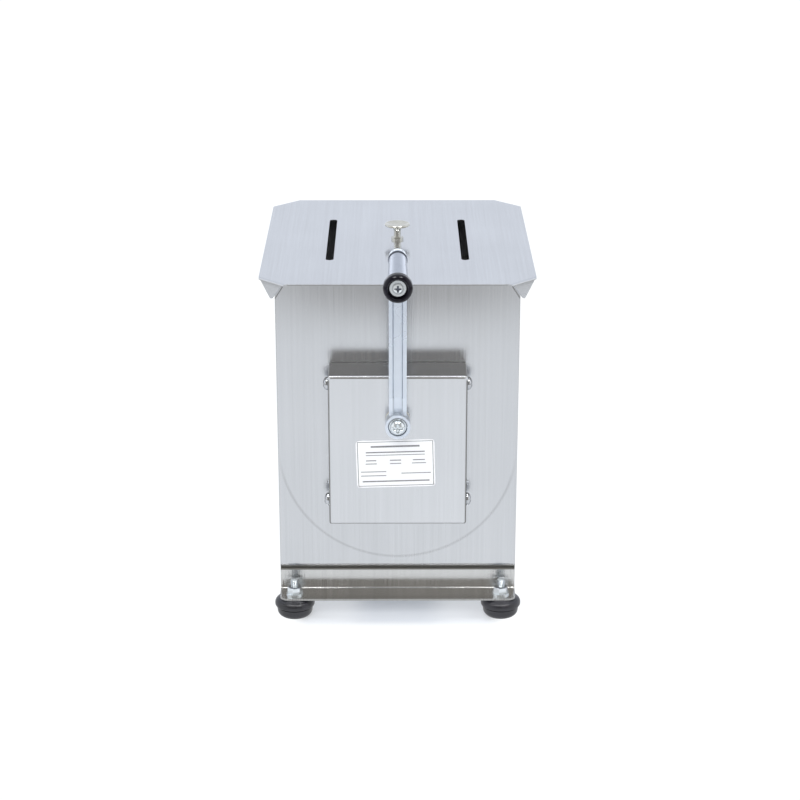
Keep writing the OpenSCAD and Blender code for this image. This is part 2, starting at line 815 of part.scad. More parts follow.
module lid() {
    flap_depth = fold_leg;
    color([0.81, 0.82, 0.85]) translate([0, tub_y, tub_top_z]) {
        linear_extrude(lid_t) difference() {
            lid_outline();
            for (s = [-1, 1]) translate([s * slot_x, 0]) lid_slot();
            circle(knob_screw_d / 2 + hole_gap);
        }
        intersection() {
            for (sx = [0, 1], sy = [0, 1]) mirror([sx, 0, 0]) mirror([0, sy, 0])
                translate([(lid_w - fold_leg) / 2, (lid_l - fold_leg) / 2, lid_t])
                    rotate([0, 0, 45]) folded_corner();
            translate([-lid_w / 2, -lid_l / 2, -flap_depth]) cube([lid_w, lid_l, 2 * flap_depth]);
        }
    }
}

// Knob: a collar, a slim neck and a disc that flares out of it, with a dished upper face
module lid_knob() {
    neck_r = knob_neck_d / 2;
    collar_r = knob_collar_d / 2;
    collar_h = 0.13 * knob_h;
    fillet_r = min(1.5, collar_r - neck_r - 0.2);
    flare_z = 0.55 * knob_h;
    rim_r = 1.4;
    flat_r = knob_d / 2 - rim_r;
    rim_z = knob_h - rim_r;
    dish = 2.4;
    dish_steps = 8;
    color([0.8, 0.78, 0.72]) translate([0, tub_y, tub_top_z + lid_t]) difference() {
        rotate_extrude() polygon(concat(
            [[0, 0], [collar_r, 0], [collar_r, collar_h]],
            arc(neck_r + fillet_r, collar_h + fillet_r, fillet_r, 270, 180, 6),
            [for (a = [0:10:90])
                [flat_r - (flat_r - neck_r) * cos(a), flare_z + (rim_z - rim_r - flare_z) * sin(a)]],
            arc(flat_r, rim_z, rim_r, -60, 90, 8),
            [for (i = [dish_steps - 1:-1:0])
                [flat_r * i / dish_steps, knob_h - dish * (1 - pow(i / dish_steps, 2))]]
        ));
        bar(knob_screw_d / 2 + fit_gap, -past, knob_screw_l - lid_t + past);
    }
}

module lid_knob_screw() {
    color([0.8, 0.81, 0.83]) translate([0, tub_y, tub_top_z]) {
        rotate([180, 0, 0]) pan_head(knob_screw_head_d, knob_screw_head_h);
        bar(knob_screw_d / 2, 0, knob_screw_l);
    }
}

// A pin across the shaft at a distance outward from the panel
module cross_pin(d, l, p) {
    translate([0, 0, p]) rotate([0, 90, 0]) cylinder(d = d, h = l, center = true);
}

module at_crank() {
    front_face() translate([0, crank_z, 0]) children();
}

module at_mixer() {
    front_face() translate([0, shaft_z, 0]) children();
}

pinion_pin_p = pinion_end_p + pinion_hub_l / 2;
gear_pin_p = gear_end_p + gear_hub_l / 2;
bolt_seat_p = boss_seat_p + washer_t;

module crank_shaft() {
    square_end_p = boss_seat_p - past;
    color([0.7, 0.71, 0.73]) at_crank() difference() {
        union() {
            bar(crank_shaft_d / 2, past, boss_p);
            translate([-crank_square / 2, -crank_square / 2, boss_p])
                cube([crank_square, crank_square, square_end_p - boss_p]);
        }
        bar(crank_bolt_d / 2 + fit_gap, bolt_seat_p - crank_bolt_l - past, boss_end_p + past);
        cross_pin(gear_pin_d + 2 * fit_gap, pinion_hub_d, pinion_pin_p);
    }
}

module pinion() {
    color([0.55, 0.55, 0.56]) at_crank() difference() {
        union() {
            translate([0, 0, gear_p]) linear_extrude(pinion_end_p - gear_p)
                polygon(gear_outline(pinion_teeth, -90));
            bar(pinion_hub_d / 2, pinion_end_p, pinion_end_p + pinion_hub_l);
        }
        bar(crank_shaft_d / 2 + fit_gap, gear_p - past, pinion_end_p + pinion_hub_l + past);
        cross_pin(gear_pin_d + 2 * fit_gap, pinion_hub_d + past, pinion_pin_p);
    }
}

module pinion_pin() {
    color([0.7, 0.7, 0.7]) at_crank() cross_pin(gear_pin_d, pinion_hub_d - past, pinion_pin_p);
}

// The arm's side view as [distance outward, height above the crank axis]
function arm_line(p) = [
    [p - arm_step, 0], [p - arm_step, boss_d / 2], [p, arm_step_z], [p, crank_r + arm_w]
];
function reversed(list) = [for (i = [len(list) - 1:-1:0]) list[i]];

// The arm's front view: straight sides and one round end at the grip
module arm_outline(w) {
    translate([-w / 2, 0]) square([w, crank_r]);
    translate([0, crank_r]) circle(d = w);
}

module arm_slab(w, p0, p1) {
    intersection() {
        at_front() translate([0, 0, crank_z]) across(w) polygon(concat(arm_line(p0), reversed(arm_line(p1))));
        at_crank() linear_extrude(arm_p + arm_t) arm_outline(w);
    }
}

// The channel's sloping walls along the straight length, drawn as [across, distance outward]
module channel_walls() {
    floor_x = arm_w / 2 - arm_rim - arm_draft;
    edge_x = arm_w / 2 - arm_rim;
    at_crank() translate([0, crank_r, 0]) rotate([90, 0, 0]) linear_extrude(crank_r - arm_step_z) polygon([
        [-floor_x, arm_p - arm_channel], [floor_x, arm_p - arm_channel],
        [edge_x, arm_p], [edge_x, arm_p + past], [-edge_x, arm_p + past], [-edge_x, arm_p]
    ]);
}

module crank_arm() {
    square_hole = crank_square + 2 * fit_gap;
    dish_r = crank_washer_d / 2 + hole_gap;
    dish_flare = 0.8;
    channel_w = arm_w - 2 * arm_rim - 2 * arm_draft;
    color([0.82, 0.84, 0.87]) difference() {
        union() {
            difference() {
                arm_slab(arm_w, arm_p - arm_t, arm_p);
                arm_slab(channel_w, arm_p - arm_channel, arm_p + past);
                channel_walls();
            }
            at_crank() bar(boss_d / 2, boss_p, boss_end_p);
        }
        at_crank() translate([0, 0, arm_p]) cube([square_hole, square_hole, 2 * arm_p], center = true);
        at_crank() translate([0, 0, boss_seat_p])
            cylinder(r1 = dish_r, r2 = dish_r + 2 * dish_flare, h = 2 * boss_dish);
        at_grip() bar(rivet_d / 2 + fit_gap, 0, arm_p + past);
    }
}

module crank_washer() {
    color([0.85, 0.86, 0.88]) at_crank()
        ring(crank_washer_d / 2, crank_bolt_d / 2 + hole_gap, boss_seat_p, bolt_seat_p);
}

module crank_bolt() {
    color([0.9, 0.91, 0.92]) at_crank() {
        bar(crank_bolt_d / 2, bolt_seat_p - crank_bolt_l, bolt_seat_p);
        translate([0, 0, bolt_seat_p]) pan_head(crank_bolt_head_d, crank_bolt_head_h);
    }
}

module at_grip() {
    at_crank() translate([0, crank_r, 0]) children();
}

// Spindle: riveted through the arm, with a shoulder on its rims and a head behind it
rivet_d = spindle_d - 2;
rivet_head_t = 1.5;

module grip_spindle() {
    back_p = arm_p - arm_t;
    screw_end_p = spindle_end_p + grip_washer_t - grip_screw_l;
    color([0.75, 0.76, 0.78]) at_grip() difference() {
        union() {
            bar(rivet_d / 2, back_p, arm_p);
            bar(spindle_d / 2 + past, back_p - rivet_head_t, back_p);
            bar(spindle_d / 2, arm_p, spindle_end_p);
        }
        bar(grip_screw_d / 2 + fit_gap, screw_end_p - past, spindle_end_p + past);
    }
}

module grip_washer() {
    color([0.85, 0.86, 0.88]) at_grip()
        ring(grip_washer_d / 2, grip_screw_d / 2 + hole_gap, spindle_end_p, spindle_end_p + grip_washer_t);
}

module grip_screw() {
    seat_p = spindle_end_p + grip_washer_t;
    color([0.9, 0.91, 0.92]) at_grip() {
        bar(grip_screw_d / 2, seat_p - grip_screw_l, seat_p);
        translate([0, 0, seat_p]) pan_head(grip_screw_head_d, grip_screw_head_h);
    }
}

spigot_d = grip_near_d - 2;

module grip_sleeve() {
    collar_l = 2.5;
    collar_rise = 0.8;
    color([0.86, 0.87, 0.89]) at_grip() difference() {
        rotate_extrude() polygon([
            [0, grip_p], [grip_near_d / 2 + collar_rise, grip_p],
            [grip_near_d / 2 + collar_rise, grip_p + collar_l], [grip_near_d / 2, grip_p + collar_l],
            [grip_far_d / 2, cap_p], [spigot_d / 2, cap_p], [spigot_d / 2, recess_p], [0, recess_p]
        ]);
        bar(spindle_d / 2 + run_gap, grip_p - past, recess_p + past);
    }
}

// End cap: a ring with a rounded front edge and a recess for the washer and screw
module grip_end_cap() {
    front_r = 5;
    front_angle = 70;
    back_r = 2;
    lip_r = 1.2;
    recess_r = cap_d / 2 - cap_wall;
    color([0.12, 0.12, 0.13]) at_grip() difference() {
        rotate_extrude() polygon(concat(
            [[spigot_d / 2 + fit_gap, cap_p]],
            arc(cap_d / 2 - back_r, cap_p + back_r, back_r, -90, 0, 6),
            arc(cap_d / 2 - front_r, grip_end_p - front_r, front_r, 0, front_angle, 10),
            arc(recess_r + lip_r, grip_end_p - lip_r, lip_r, 90, 180, 6),
            [[recess_r, recess_p], [spigot_d / 2 + fit_gap, recess_p]]
        ));
    }
}

module drive_gear() {
    root_r = gear_pitch_r - root_clearance * gear_module;
    rim_t = 4;
    recess = (gear_w - gear_web_t) / 2;
    color([0.55, 0.55, 0.56]) at_mixer() difference() {
        union() {
            translate([0, 0, gear_p]) linear_extrude(gear_w)
                polygon(gear_outline(gear_teeth, 90 + 180 / gear_teeth));
            bar(gear_hub_d / 2, gear_end_p, gear_hub_end_p);
        }
        ring(root_r - rim_t, gear_hub_d / 2, gear_p - past, gear_p + recess);
        ring(root_r - rim_t, gear_hub_d / 2, gear_end_p - recess, gear_end_p + past);
        bar(stub_d / 2 + fit_gap, gear_p - past, gear_hub_end_p + past);
        cross_pin(gear_pin_d + 2 * fit_gap, gear_hub_d + past, gear_pin_p);
    }
}

module gear_pin() {
    color([0.7, 0.7, 0.7]) at_mixer() cross_pin(gear_pin_d, gear_hub_d - past, gear_pin_p);
}

groove_r = stub_d / 2 - 1;

module gear_clip() {
    color([0.35, 0.35, 0.36]) at_mixer()
        ring(stub_d / 2 + clip_w, groove_r + fit_gap, gear_hub_end_p, gear_hub_end_p + clip_t);
}

module drive_stub() {
    color([0.72, 0.73, 0.75]) at_mixer() difference() {
        bar(stub_d / 2, -panel_t - stub_reach, stub_end_p);
        ring(stub_d, groove_r, gear_hub_end_p, gear_hub_end_p + clip_t);
        cross_pin(gear_pin_d + 2 * fit_gap, 2 * stub_d, gear_pin_p);
        cross_pin(coupling_pin_d + 2 * fit_gap, 2 * stub_d, coupling_p);
    }
}

module coupling_pin() {
    color([0.75, 0.76, 0.78]) at_mixer() cross_pin(coupling_pin_d, mixing_d, coupling_p);
}

// Mixing shaft: a tube whose front end is slotted to slide over the coupling pin
module mixing_shaft() {
    slot_h = coupling_pin_d + 2 * fit_gap;
    color([0.76, 0.77, 0.79]) at_mixer() difference() {
        ring(mixing_d / 2, mixing_bore_r, mixing_end_p, mixing_front_p);
        translate([-mixing_d, -slot_h / 2, coupling_p])
            cube([2 * mixing_d, slot_h, mixing_front_p - coupling_p + past]);
        cross_pin(slot_h, 2 * mixing_d, coupling_p);
    }
}

module rear_bush() {
    bush_l = pivot_nose_l + 2;
    color([0.85, 0.84, 0.8]) at_mixer()
        ring(mixing_bore_r - fit_gap, pivot_nose_d / 2 + run_gap, mixing_end_p, mixing_end_p + bush_l);
}

// One paddle: a round arm welded on the tube and a pitched blade with a swept outer edge
paddle_first_angle = 45;
paddle_count = 4;
paddle_step = (trough_len - 2 * paddle_end) / (paddle_count - 1);

module paddle(k) {
    arm_end = paddle_r - blade_h + blade_corner_r;
    pitch = k % 2 == 0 ? blade_angle : -blade_angle;
    color([0.76, 0.77, 0.79]) at_mixer() translate([0, 0, -panel_t - paddle_end - k * paddle_step])
        rotate([0, 0, paddle_first_angle + 360 / paddle_count * k]) difference() {
            union() {
                rotate([0, 90, 0]) cylinder(d = paddle_arm_d, h = arm_end);
                intersection() {
                    translate([paddle_r - blade_h / 2, 0, 0]) rotate([pitch, 0, 0]) rotate([90, 0, 0])
                        linear_extrude(blade_t, center = true) rounded_rect(blade_h, blade_w, blade_corner_r);
                    cylinder(r = paddle_r, h = 2 * blade_w, center = true);
                }
            }
            cylinder(r = mixing_d / 2 + fit_gap, h = 2 * mixing_d, center = true);
        }
}

module paddle_1() {
    paddle(0);
}

module paddle_2() {
    paddle(1);
}

module paddle_3() {
    paddle(2);
}

module paddle_4() {
    paddle(3);
}

trough();
front_panel();
rear_panel();
front_foot_rail();
rear_foot_rail();
foot_front_left();
foot_front_right();
foot_rear_left();
foot_rear_right();
foot_studs();
foot_washers();
foot_nuts();
bearing_plate();
plate_studs();
plate_nuts();
cover_brackets();
gear_cover();
cover_screws();
cover_bush();
crank_bush();
front_shaft_bush();
shaft_seal();
rear_boss();
rear_pivot();
lid();
lid_knob();
lid_knob_screw();
crank_shaft();
pinion();
pinion_pin();
crank_arm();
crank_washer();
crank_bolt();
grip_spindle();
grip_washer();
grip_screw();
grip_sleeve();
grip_end_cap();
drive_gear();
gear_pin();
gear_clip();
drive_stub();
coupling_pin();
mixing_shaft();
rear_bush();
paddle_1();
paddle_2();
paddle_3();
paddle_4();
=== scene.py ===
# %% [markdown]
# # A hand cranked meat mixer
#
# The mixer is a round bottomed steel tub on four rubber feet, with a lid that lifts off and a crank that
# turns a paddle shaft through a pair of gears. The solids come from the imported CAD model, and nothing here
# moves them. This lesson gives each surface its finish and adds what is too fine for the solids.

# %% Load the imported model
import math
import bmesh
import bpy
import numpy as np
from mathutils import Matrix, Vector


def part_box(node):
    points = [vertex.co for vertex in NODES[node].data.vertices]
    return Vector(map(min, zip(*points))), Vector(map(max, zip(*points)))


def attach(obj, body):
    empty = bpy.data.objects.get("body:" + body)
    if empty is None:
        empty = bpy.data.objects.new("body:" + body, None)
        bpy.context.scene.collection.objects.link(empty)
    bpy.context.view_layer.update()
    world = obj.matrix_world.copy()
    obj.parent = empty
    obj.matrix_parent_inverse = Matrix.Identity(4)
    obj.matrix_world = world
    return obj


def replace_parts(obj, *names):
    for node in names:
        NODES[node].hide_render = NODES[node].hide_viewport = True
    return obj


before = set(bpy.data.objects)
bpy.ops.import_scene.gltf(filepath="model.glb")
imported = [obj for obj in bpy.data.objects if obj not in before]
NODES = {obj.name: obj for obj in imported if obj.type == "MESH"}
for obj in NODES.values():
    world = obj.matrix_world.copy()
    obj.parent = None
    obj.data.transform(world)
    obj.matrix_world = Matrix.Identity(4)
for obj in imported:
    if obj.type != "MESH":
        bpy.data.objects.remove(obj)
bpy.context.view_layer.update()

MM = 0.001

# %% [markdown]
# ## Shader formulas in plain Python
#
# A finish is a formula: grain times a colour, wear where an edge is. Nodes could be placed and linked one
# by one, but the formula is then hard to see. This small class wraps one socket, so that `1 - mask * 0.5`
# adds its own Math nodes, and its method `add` makes any other node from its settings and its sockets'
# values.

# %% A socket that can be written into formulas
class Wire:
    """One socket of a shader. Arithmetic on it adds Math nodes; add() adds any other node."""

    def __init__(self, tree, socket=None):
        self.tree = tree
        self.socket = socket

    def feed(self, target, value):
        """Links a wire into a socket, or sets the socket's own value."""
        if isinstance(value, Wire):
            self.tree.links.new(value.socket, target)
        else:
            target.default_value = value

    def add(self, kind, settings=None, values=None, out=0):
        """A new node: first its settings, then the values or links of its sockets. out names its outputs."""
        node = self.tree.nodes.new("ShaderNode" + kind)
        for name, value in (settings or {}).items():
            setattr(node, name, value)
        for key, value in (values or {}).items():
            self.feed(node.inputs[key], value)
        if isinstance(out, tuple):
            return [Wire(self.tree, node.outputs[name]) for name in out]
        return Wire(self.tree, node.outputs[out])

    def math(self, operation, *terms):
        return self.add("Math", {"operation": operation}, dict(enumerate(terms)))

    def __add__(self, other):
        return self.math("ADD", self, other)

    def __radd__(self, other):
        return self.math("ADD", other, self)

    def __sub__(self, other):
        return self.math("SUBTRACT", self, other)

    def __rsub__(self, other):
        return self.math("SUBTRACT", other, self)

    def __mul__(self, other):
        return self.math("MULTIPLY", self, other)

    def __rmul__(self, other):
        return self.math("MULTIPLY", other, self)

    def __truediv__(self, other):
        return self.math("DIVIDE", self, other)

    def __rtruediv__(self, other):
        return self.math("DIVIDE", other, self)

    def __pow__(self, other):
        return self.math("POWER", self, other)

    def __rpow__(self, other):
        return self.math("POWER", other, self)

    def absolute(self):
        return self.math("ABSOLUTE", self)

    def at_most(self, other):
        return self.math("MINIMUM", self, other)

    def at_least(self, other):
        return self.math("MAXIMUM", self, other)

    def ramp(self, low, high):
        """0 below low, 1 above high, and a smooth step between them."""
        values = {"Value": self, "From Min": low, "From Max": high}
        return self.add("MapRange", {"interpolation_type": "SMOOTHSTEP"}, values)


print("wires ready")

# %% [markdown]
# A few formulas come back in every finish: a blend of two colours, noise, the coordinates of a place, and
# how far a point lies from the edge of a sheet with rounded corners. Node groups could hold them, but a
# function is shorter and shows its formula.

# %% Formulas that every finish uses
def blend(wire, factor, first, second):
    """A colour between two, by a factor from 0 to 1. A Mix node's colour sockets are its inputs 6 and 7."""
    return wire.add("Mix", {"data_type": "RGBA"}, {0: factor, 6: first, 7: second}, 2)


def noise(wire, place, waves, detail=2.0):
    """Noise from 0 to 1 with so many waves a metre."""
    return wire.add("TexNoise", None, {"Vector": place, "Scale": waves, "Detail": detail}, "Fac")


def stretched(wire, place, along, across, axes):
    """Noise in streaks or rings: waves a metre along the named axes, and a second number across them."""
    scale = [along if axis in axes else across for axis in "XYZ"]
    return noise(wire, wire.add("Mapping", None, {"Vector": place, "Scale": scale}, "Vector"), 1.0)


def split(wire, place, axes):
    """The named coordinates of a place, as a list of wires, or as one wire for one axis."""
    return wire.add("SeparateXYZ", None, {0: place}, tuple(axes) if len(axes) > 1 else axes)


def length(first, second):
    """The length of a flat vector: sqrt(a^2 + b^2)."""
    return (first * first + second * second) ** 0.5


def edge_distance(first, second, halves, corner):
    """How far a point is outside a rounded rectangle about the origin: |max(|p| - half + r, 0)| - r."""
    past = [(axis.absolute() - (half - corner)).at_least(0.0) for axis, half in zip((first, second), halves)]
    return length(*past) - corner


print("shader formulas ready")

# %% [markdown]
# ## Stainless sheet, brushed along one direction
#
# The tub, the lid and the cover are stainless sheet from a belt: thousands of straight fine scratches, all
# one way. Each scratch tilts the light sideways, so reflections smear across the grain and stay sharp along
# it. An anisotropic shader could smear them, but it needs tangents that these solids don't have. A noise
# that is stretched along the grain gives the scratches themselves, as bump, tone and roughness.

# %% Colours are written as the eye sees them, then turned into light
def light(red, green, blue):
    """Linear light of a colour written in 0 to 255, by the sRGB curve."""
    steps = np.array([red, green, blue]) / 255
    low = steps / 12.92
    high = ((steps + 0.055) / 1.055) ** 2.4
    return (*np.where(steps <= 0.04045, low, high).tolist(), 1.0)


def new_finish(name, **plain):
    """A material, a wire into its tree and its shader, whose uniform sockets are set from plain values."""
    material = bpy.data.materials.new(name)
    material.use_nodes = True
    shader = material.node_tree.nodes["Principled BSDF"]
    for socket, value in plain.items():
        shader.inputs[socket.replace("_", " ")].default_value = value
    return material, Wire(material.node_tree), shader


print("white is", light(255, 255, 255))

# %% [markdown]
# A sheet's finish takes three such noises, from single scratches to broad bands, and adds soft clouds.
# Tone, roughness and bump could each have a noise of their own, but on steel one scratch changes all three,
# so they share it here. A sheet can also have dirt, painted shade, a matt side, or a bow too slight to model.

# %% A sheet's finish
GRAIN_ALONG, GRAIN_ACROSS = 9.0, 1500.0
STREAK_ALONG, STREAK_ACROSS = 3.5, 330.0
BAND_ALONG, BAND_ACROSS = 1.5, 70.0
SHEET_CLOUDS, ETCHED, SKIN_DEPTH = 9.0, 0.5, 0.2 * MM
# One dark colour for dirt and for painted shade on the sheets.
DIRT_AND_SHADE = light(70, 68, 60)


def brushed_sheet(name, dark, pale, axes, rough=0.21, slope=0.3, dirt_and_shade=None, bow=None, matt=None):
    """Stainless sheet brushed along an axis, or along two where the sheet is bent. dirt_and_shade(wire,
    place) is a share of dirt and painted shade, bow(wire, place) is how far the sheet stands out of its
    plane, in metres, and matt(wire, place) is where it is etched matt."""
    material, wire, shader = new_finish(name)
    place = wire.add("TexCoord", out="Object")
    grain = stretched(wire, place, GRAIN_ALONG, GRAIN_ACROSS, axes)
    streaks = stretched(wire, place, STREAK_ALONG, STREAK_ACROSS, axes)
    bands = stretched(wire, place, BAND_ALONG, BAND_ACROSS, axes)
    clouds = noise(wire, place, SHEET_CLOUDS, 3.0)
    tone = grain * 0.5 + streaks * 0.3 + bands * 0.2 + clouds * 0.5 - 0.25
    steel = blend(wire, tone.at_most(1.0).at_least(0.0), dark, pale)
    roughness = rough + (grain - 0.5) * 0.2 + (clouds - 0.5) * 0.12
    polish = 1.0
    if dirt_and_shade:
        # Darkens the steel by the mask: dirt and marks on some sheets, painted shade on others.
        dirt_and_shade_share = dirt_and_shade(wire, place)
        steel = blend(wire, dirt_and_shade_share, steel, DIRT_AND_SHADE)
        roughness = roughness + dirt_and_shade_share * 0.3
        polish = 1 - dirt_and_shade_share.ramp(0.4, 0.9)
    if matt:
        polish = (1 - matt(wire, place) * ETCHED) * polish
    wire.feed(shader.inputs["Metallic"], polish)
    wire.feed(shader.inputs["Base Color"], steel)
    wire.feed(shader.inputs["Roughness"], roughness)
    bump = {"Strength": slope, "Distance": SKIN_DEPTH, "Height": grain + streaks * 0.2 + bands * 0.1}
    if bow:
        bump["Normal"] = wire.add("Bump", None, {"Distance": 1.0, "Height": bow(wire, place)}, "Normal")
    wire.feed(shader.inputs["Normal"], wire.add("Bump", None, bump, "Normal"))
    return material


print("grain waves a metre:", GRAIN_ALONG, "by", GRAIN_ACROSS)

# %% [markdown]
# The round bottom of the tub is welded to the end panels from behind. The heat draws the thin sheet in and
# tints it a little, so a faint arc shows on the outside, as far from the mixing shaft as the trough's wall.
# The panel's rolled lower edge has a band of painted shade, where the roll mirrors the dark flange and the
# crevice under it, the side edges are darker, and a slanting line of painted shadow lies in each upper
# corner, below the lid's folded corners. All of this could be modelled, but marks so shallow are better in
# the finish.

# %% Marks and painted shade on the end panels
SHAFT_Z = sum(corner[2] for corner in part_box("drive_stub")) / 2
TROUGH_R = SHAFT_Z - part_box("trough")[0][2]
PANEL_HALF, PANEL_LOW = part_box("front_panel")[1][0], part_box("front_panel")[0][2]
PANEL_MID = (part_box("front_panel")[0][1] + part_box("rear_panel")[1][1]) / 2
PANEL_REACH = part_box("rear_panel")[1][1] - PANEL_MID
ARC_WIDTH, ROLL_HEIGHT, EDGE_WIDTH = 2.2 * MM, 5.9 * MM, 0.7 * MM
# The corners' slanting lines are a painted shadow under the lid's folded corners, and the roll's band is
# painted shade.
FLAP_SHADOW_TOP, FLAP_SHADOW_WIDE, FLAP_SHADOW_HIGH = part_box("front_panel")[1][2] - 5.6 * MM, 8.2 * MM, 12.7 * MM
ARC_DIRT, ROLL_SHADE, EDGE_DARKENING, FLAP_SHADOW_DARKNESS = 0.16, 0.93, 0.3, 0.55


def panel_marks_and_shade(wire, place):
    """A soft line at the trough's radius round the shaft, painted shade on the roll, darker side edges, and a
    slanting line u / wide + v / high = 1 of painted shadow in each upper corner, below the lid's folded
    corners."""
    across, along, height = split(wire, place, "XYZ")
    up = height - SHAFT_Z
    line = 1 - ((length(across, up) - TROUGH_R) / ARC_WIDTH).absolute().ramp(0.0, 1.0)
    arc = line * (1 - up.ramp(-0.05, 0.0)) * ARC_DIRT
    outside = ((along - PANEL_MID).absolute() - PANEL_REACH).ramp(-9.0 * MM, -6.5 * MM)
    # Painted shade: a dark band along the rolled lower edge.
    roll = (1 - (height - PANEL_LOW).ramp(0.8 * ROLL_HEIGHT, 1.25 * ROLL_HEIGHT)) * outside * ROLL_SHADE
    edges = (across.absolute() - PANEL_HALF).ramp(-EDGE_WIDTH, 0.0) * EDGE_DARKENING
    # Painted shadow: a slanting line in each upper corner, below the lid's folded corner.
    slant = (PANEL_HALF - across.absolute()) / FLAP_SHADOW_WIDE + (FLAP_SHADOW_TOP - height) / FLAP_SHADOW_HIGH
    flap_shadow = (1 - (slant - 1).absolute().ramp(0.03, 0.14)) * FLAP_SHADOW_DARKNESS
    return arc.at_least(roll).at_least(edges).at_least(flap_shadow)


print("the weld's arc has a radius of", TROUGH_R)

# %% [markdown]
# The upper part of the panel leans back by two to three degrees, most at its middle, and inside the tub the
# sheet is etched matt. The lean could be bent into the mesh, but the solids stay as they are, so it is a
# height that goes into a bump: that tilts the mirror image and leaves the outline alone.

# %% The panel's lean and the matt inside of the tub
LEAN, LEAN_FROM, LEAN_BEND = math.tan(math.radians(2.6)), 0.282, 0.06
LEAN_MIDDLE, LEAN_FALL = 1.08, 0.72


def panel_lean(wire, place):
    """-lean * (m^2 / 2w + z - m) above a height, where m = min(z, w): a bend of width w, then a straight lean
    inward. It is greatest at the middle of the panel's width."""
    across, height = split(wire, place, "XZ")
    rise = (height - LEAN_FROM).at_least(0.0)
    bend = rise.at_most(LEAN_BEND)
    aside = across / PANEL_HALF
    most = LEAN_MIDDLE - aside * aside * LEAN_FALL
    return (bend * bend / (2 * LEAN_BEND) + rise - bend) * most * -LEAN


def panel_inside(wire, place):
    """The inner faces of the end panels, behind half of the sheet."""
    along = split(wire, place, "Y")
    return 1 - ((along - PANEL_MID).absolute() - PANEL_REACH).ramp(-1.2 * MM, -0.3 * MM)


def trough_inside(wire, place):
    """The inner face of the trough: nearer to the shaft than half of the sheet, below it and beside it."""
    across, height = split(wire, place, "XZ")
    down = (height - SHAFT_Z).at_most(0.0)
    return 1 - (length(across, down) - TROUGH_R).ramp(-0.9 * MM, -0.3 * MM)


print("the panel leans from a height of", LEAN_FROM)

# %% [markdown]
# The cover's folds carry painted shade, apart from the upper one, which keeps its highlight, and dirt sits
# where the cover meets the panel. Edges could be picked out by their curvature, which needs a fine mesh.
# The distance from the cover's outline works on any mesh.

# %% Dirt and painted shade on the cover
COVER_LOW, COVER_HIGH = [np.array(corner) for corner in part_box("gear_cover")]
COVER_MID, COVER_HALF, COVER_R = (COVER_LOW[2] + COVER_HIGH[2]) / 2, (COVER_HIGH - COVER_LOW) / 2, 3.0 * MM
# COVER_FOLD_SHADE is how dark the painted shade on the cover's folds is.
COVER_JOINT, COVER_FOLD_SHADE = 0.3, 0.85


def cover_dirt_and_shade(wire, place):
    """Dirt in the joint between the cover and the panel, and painted shade on the fold round the cover's
    front, by the distance from its rounded outline. The upper fold is left without it."""
    across, back, height = split(wire, place, "XYZ")
    joint = (back - COVER_HIGH[1]).ramp(-3.6 * MM, -1.2 * MM) * COVER_JOINT
    edge = edge_distance(across, height - COVER_MID, (COVER_HALF[0], COVER_HALF[2]), COVER_R)
    near_front = 1 - (back - COVER_LOW[1]).ramp(2.0 * MM, 4.0 * MM)
    below_top = 1 - (height - COVER_HIGH[2]).ramp(-6.0 * MM, -3.0 * MM)
    # The fold's share is painted shade, kept off the upper fold.
    return joint.at_least(edge.ramp(-2.0 * MM, -0.7 * MM) * near_front * below_top * COVER_FOLD_SHADE)


print("the cover's corners have a radius of", COVER_R)

# %% [markdown]
# The lid is cut with shears, and a thin line of painted shadow darkens its lower edge; its corners are folded
# down and carry painted shade. Both could be painted by hand on an image; by height and place they follow the
# sheet.

# %% Painted shade on the lid
LID_LOW, LID_HALF, LID_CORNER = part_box("lid_knob")[0][2] - 1.2 * MM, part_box("lid")[1][0], 28.0 * MM
# CORNER_SHADE and CORNER_SHADE_LOW_LESS set the painted shade on the folded corners.
CORNER_SHADE, CORNER_SHADE_LOW_LESS = 0.2, 0.12


def lid_shade(wire, place):
    """A painted shadow along the lower face of the cut edges, away from the folded corners, and painted shade
    on the folded corners, less of it lower on the flaps.
    """
    across, height = split(wire, place, "XZ")
    # Painted shadow: a dark line along the lower face of the cut edges.
    edge_shade = 1 - (height - LID_LOW).ramp(0.2 * MM, 0.6 * MM)
    corner = (across.absolute() - (LID_HALF - LID_CORNER)).ramp(-2.0 * MM, 0.0)
    # Painted shade on the folded corners, less of it lower on the flaps.
    darkening = (1 - (height - LID_LOW).ramp(-0.6 * MM, 1.0 * MM)) * CORNER_SHADE
    darkening = darkening - (1 - (height - LID_LOW).ramp(-5.0 * MM, -2.0 * MM)) * CORNER_SHADE_LOW_LESS
    return (edge_shade * (1 - corner)).at_least(darkening * corner)


print("the lid's lower face is at", LID_LOW)

# %% [markdown]
# The flanges of the foot rails are sheared at their rounded ends. The legs lean in a little and are darker
# towards their tops, with painted shade in the joint under the panel's roll. The lean could be modelled, but
# the solids stay as they are, so it is a bump, as on the panel.

# %% Marks and painted shade on the foot rails
RAIL_MID = (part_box("front_foot_rail")[0][1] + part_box("rear_foot_rail")[1][1]) / 2
RAIL_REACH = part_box("rear_foot_rail")[1][1] - RAIL_MID
RAIL_HALF, RAIL_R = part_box("rear_foot_rail")[1][0], 9.0 * MM
RAIL_LEAN = math.tan(math.radians(2.4))
# RAIL_JOINT_SHADE is how dark the painted shade in the joint under the panel's roll is.
RAIL_SHEARED, RAIL_LEG_DARKENING, RAIL_JOINT_SHADE = 0.5, 0.14, 0.9


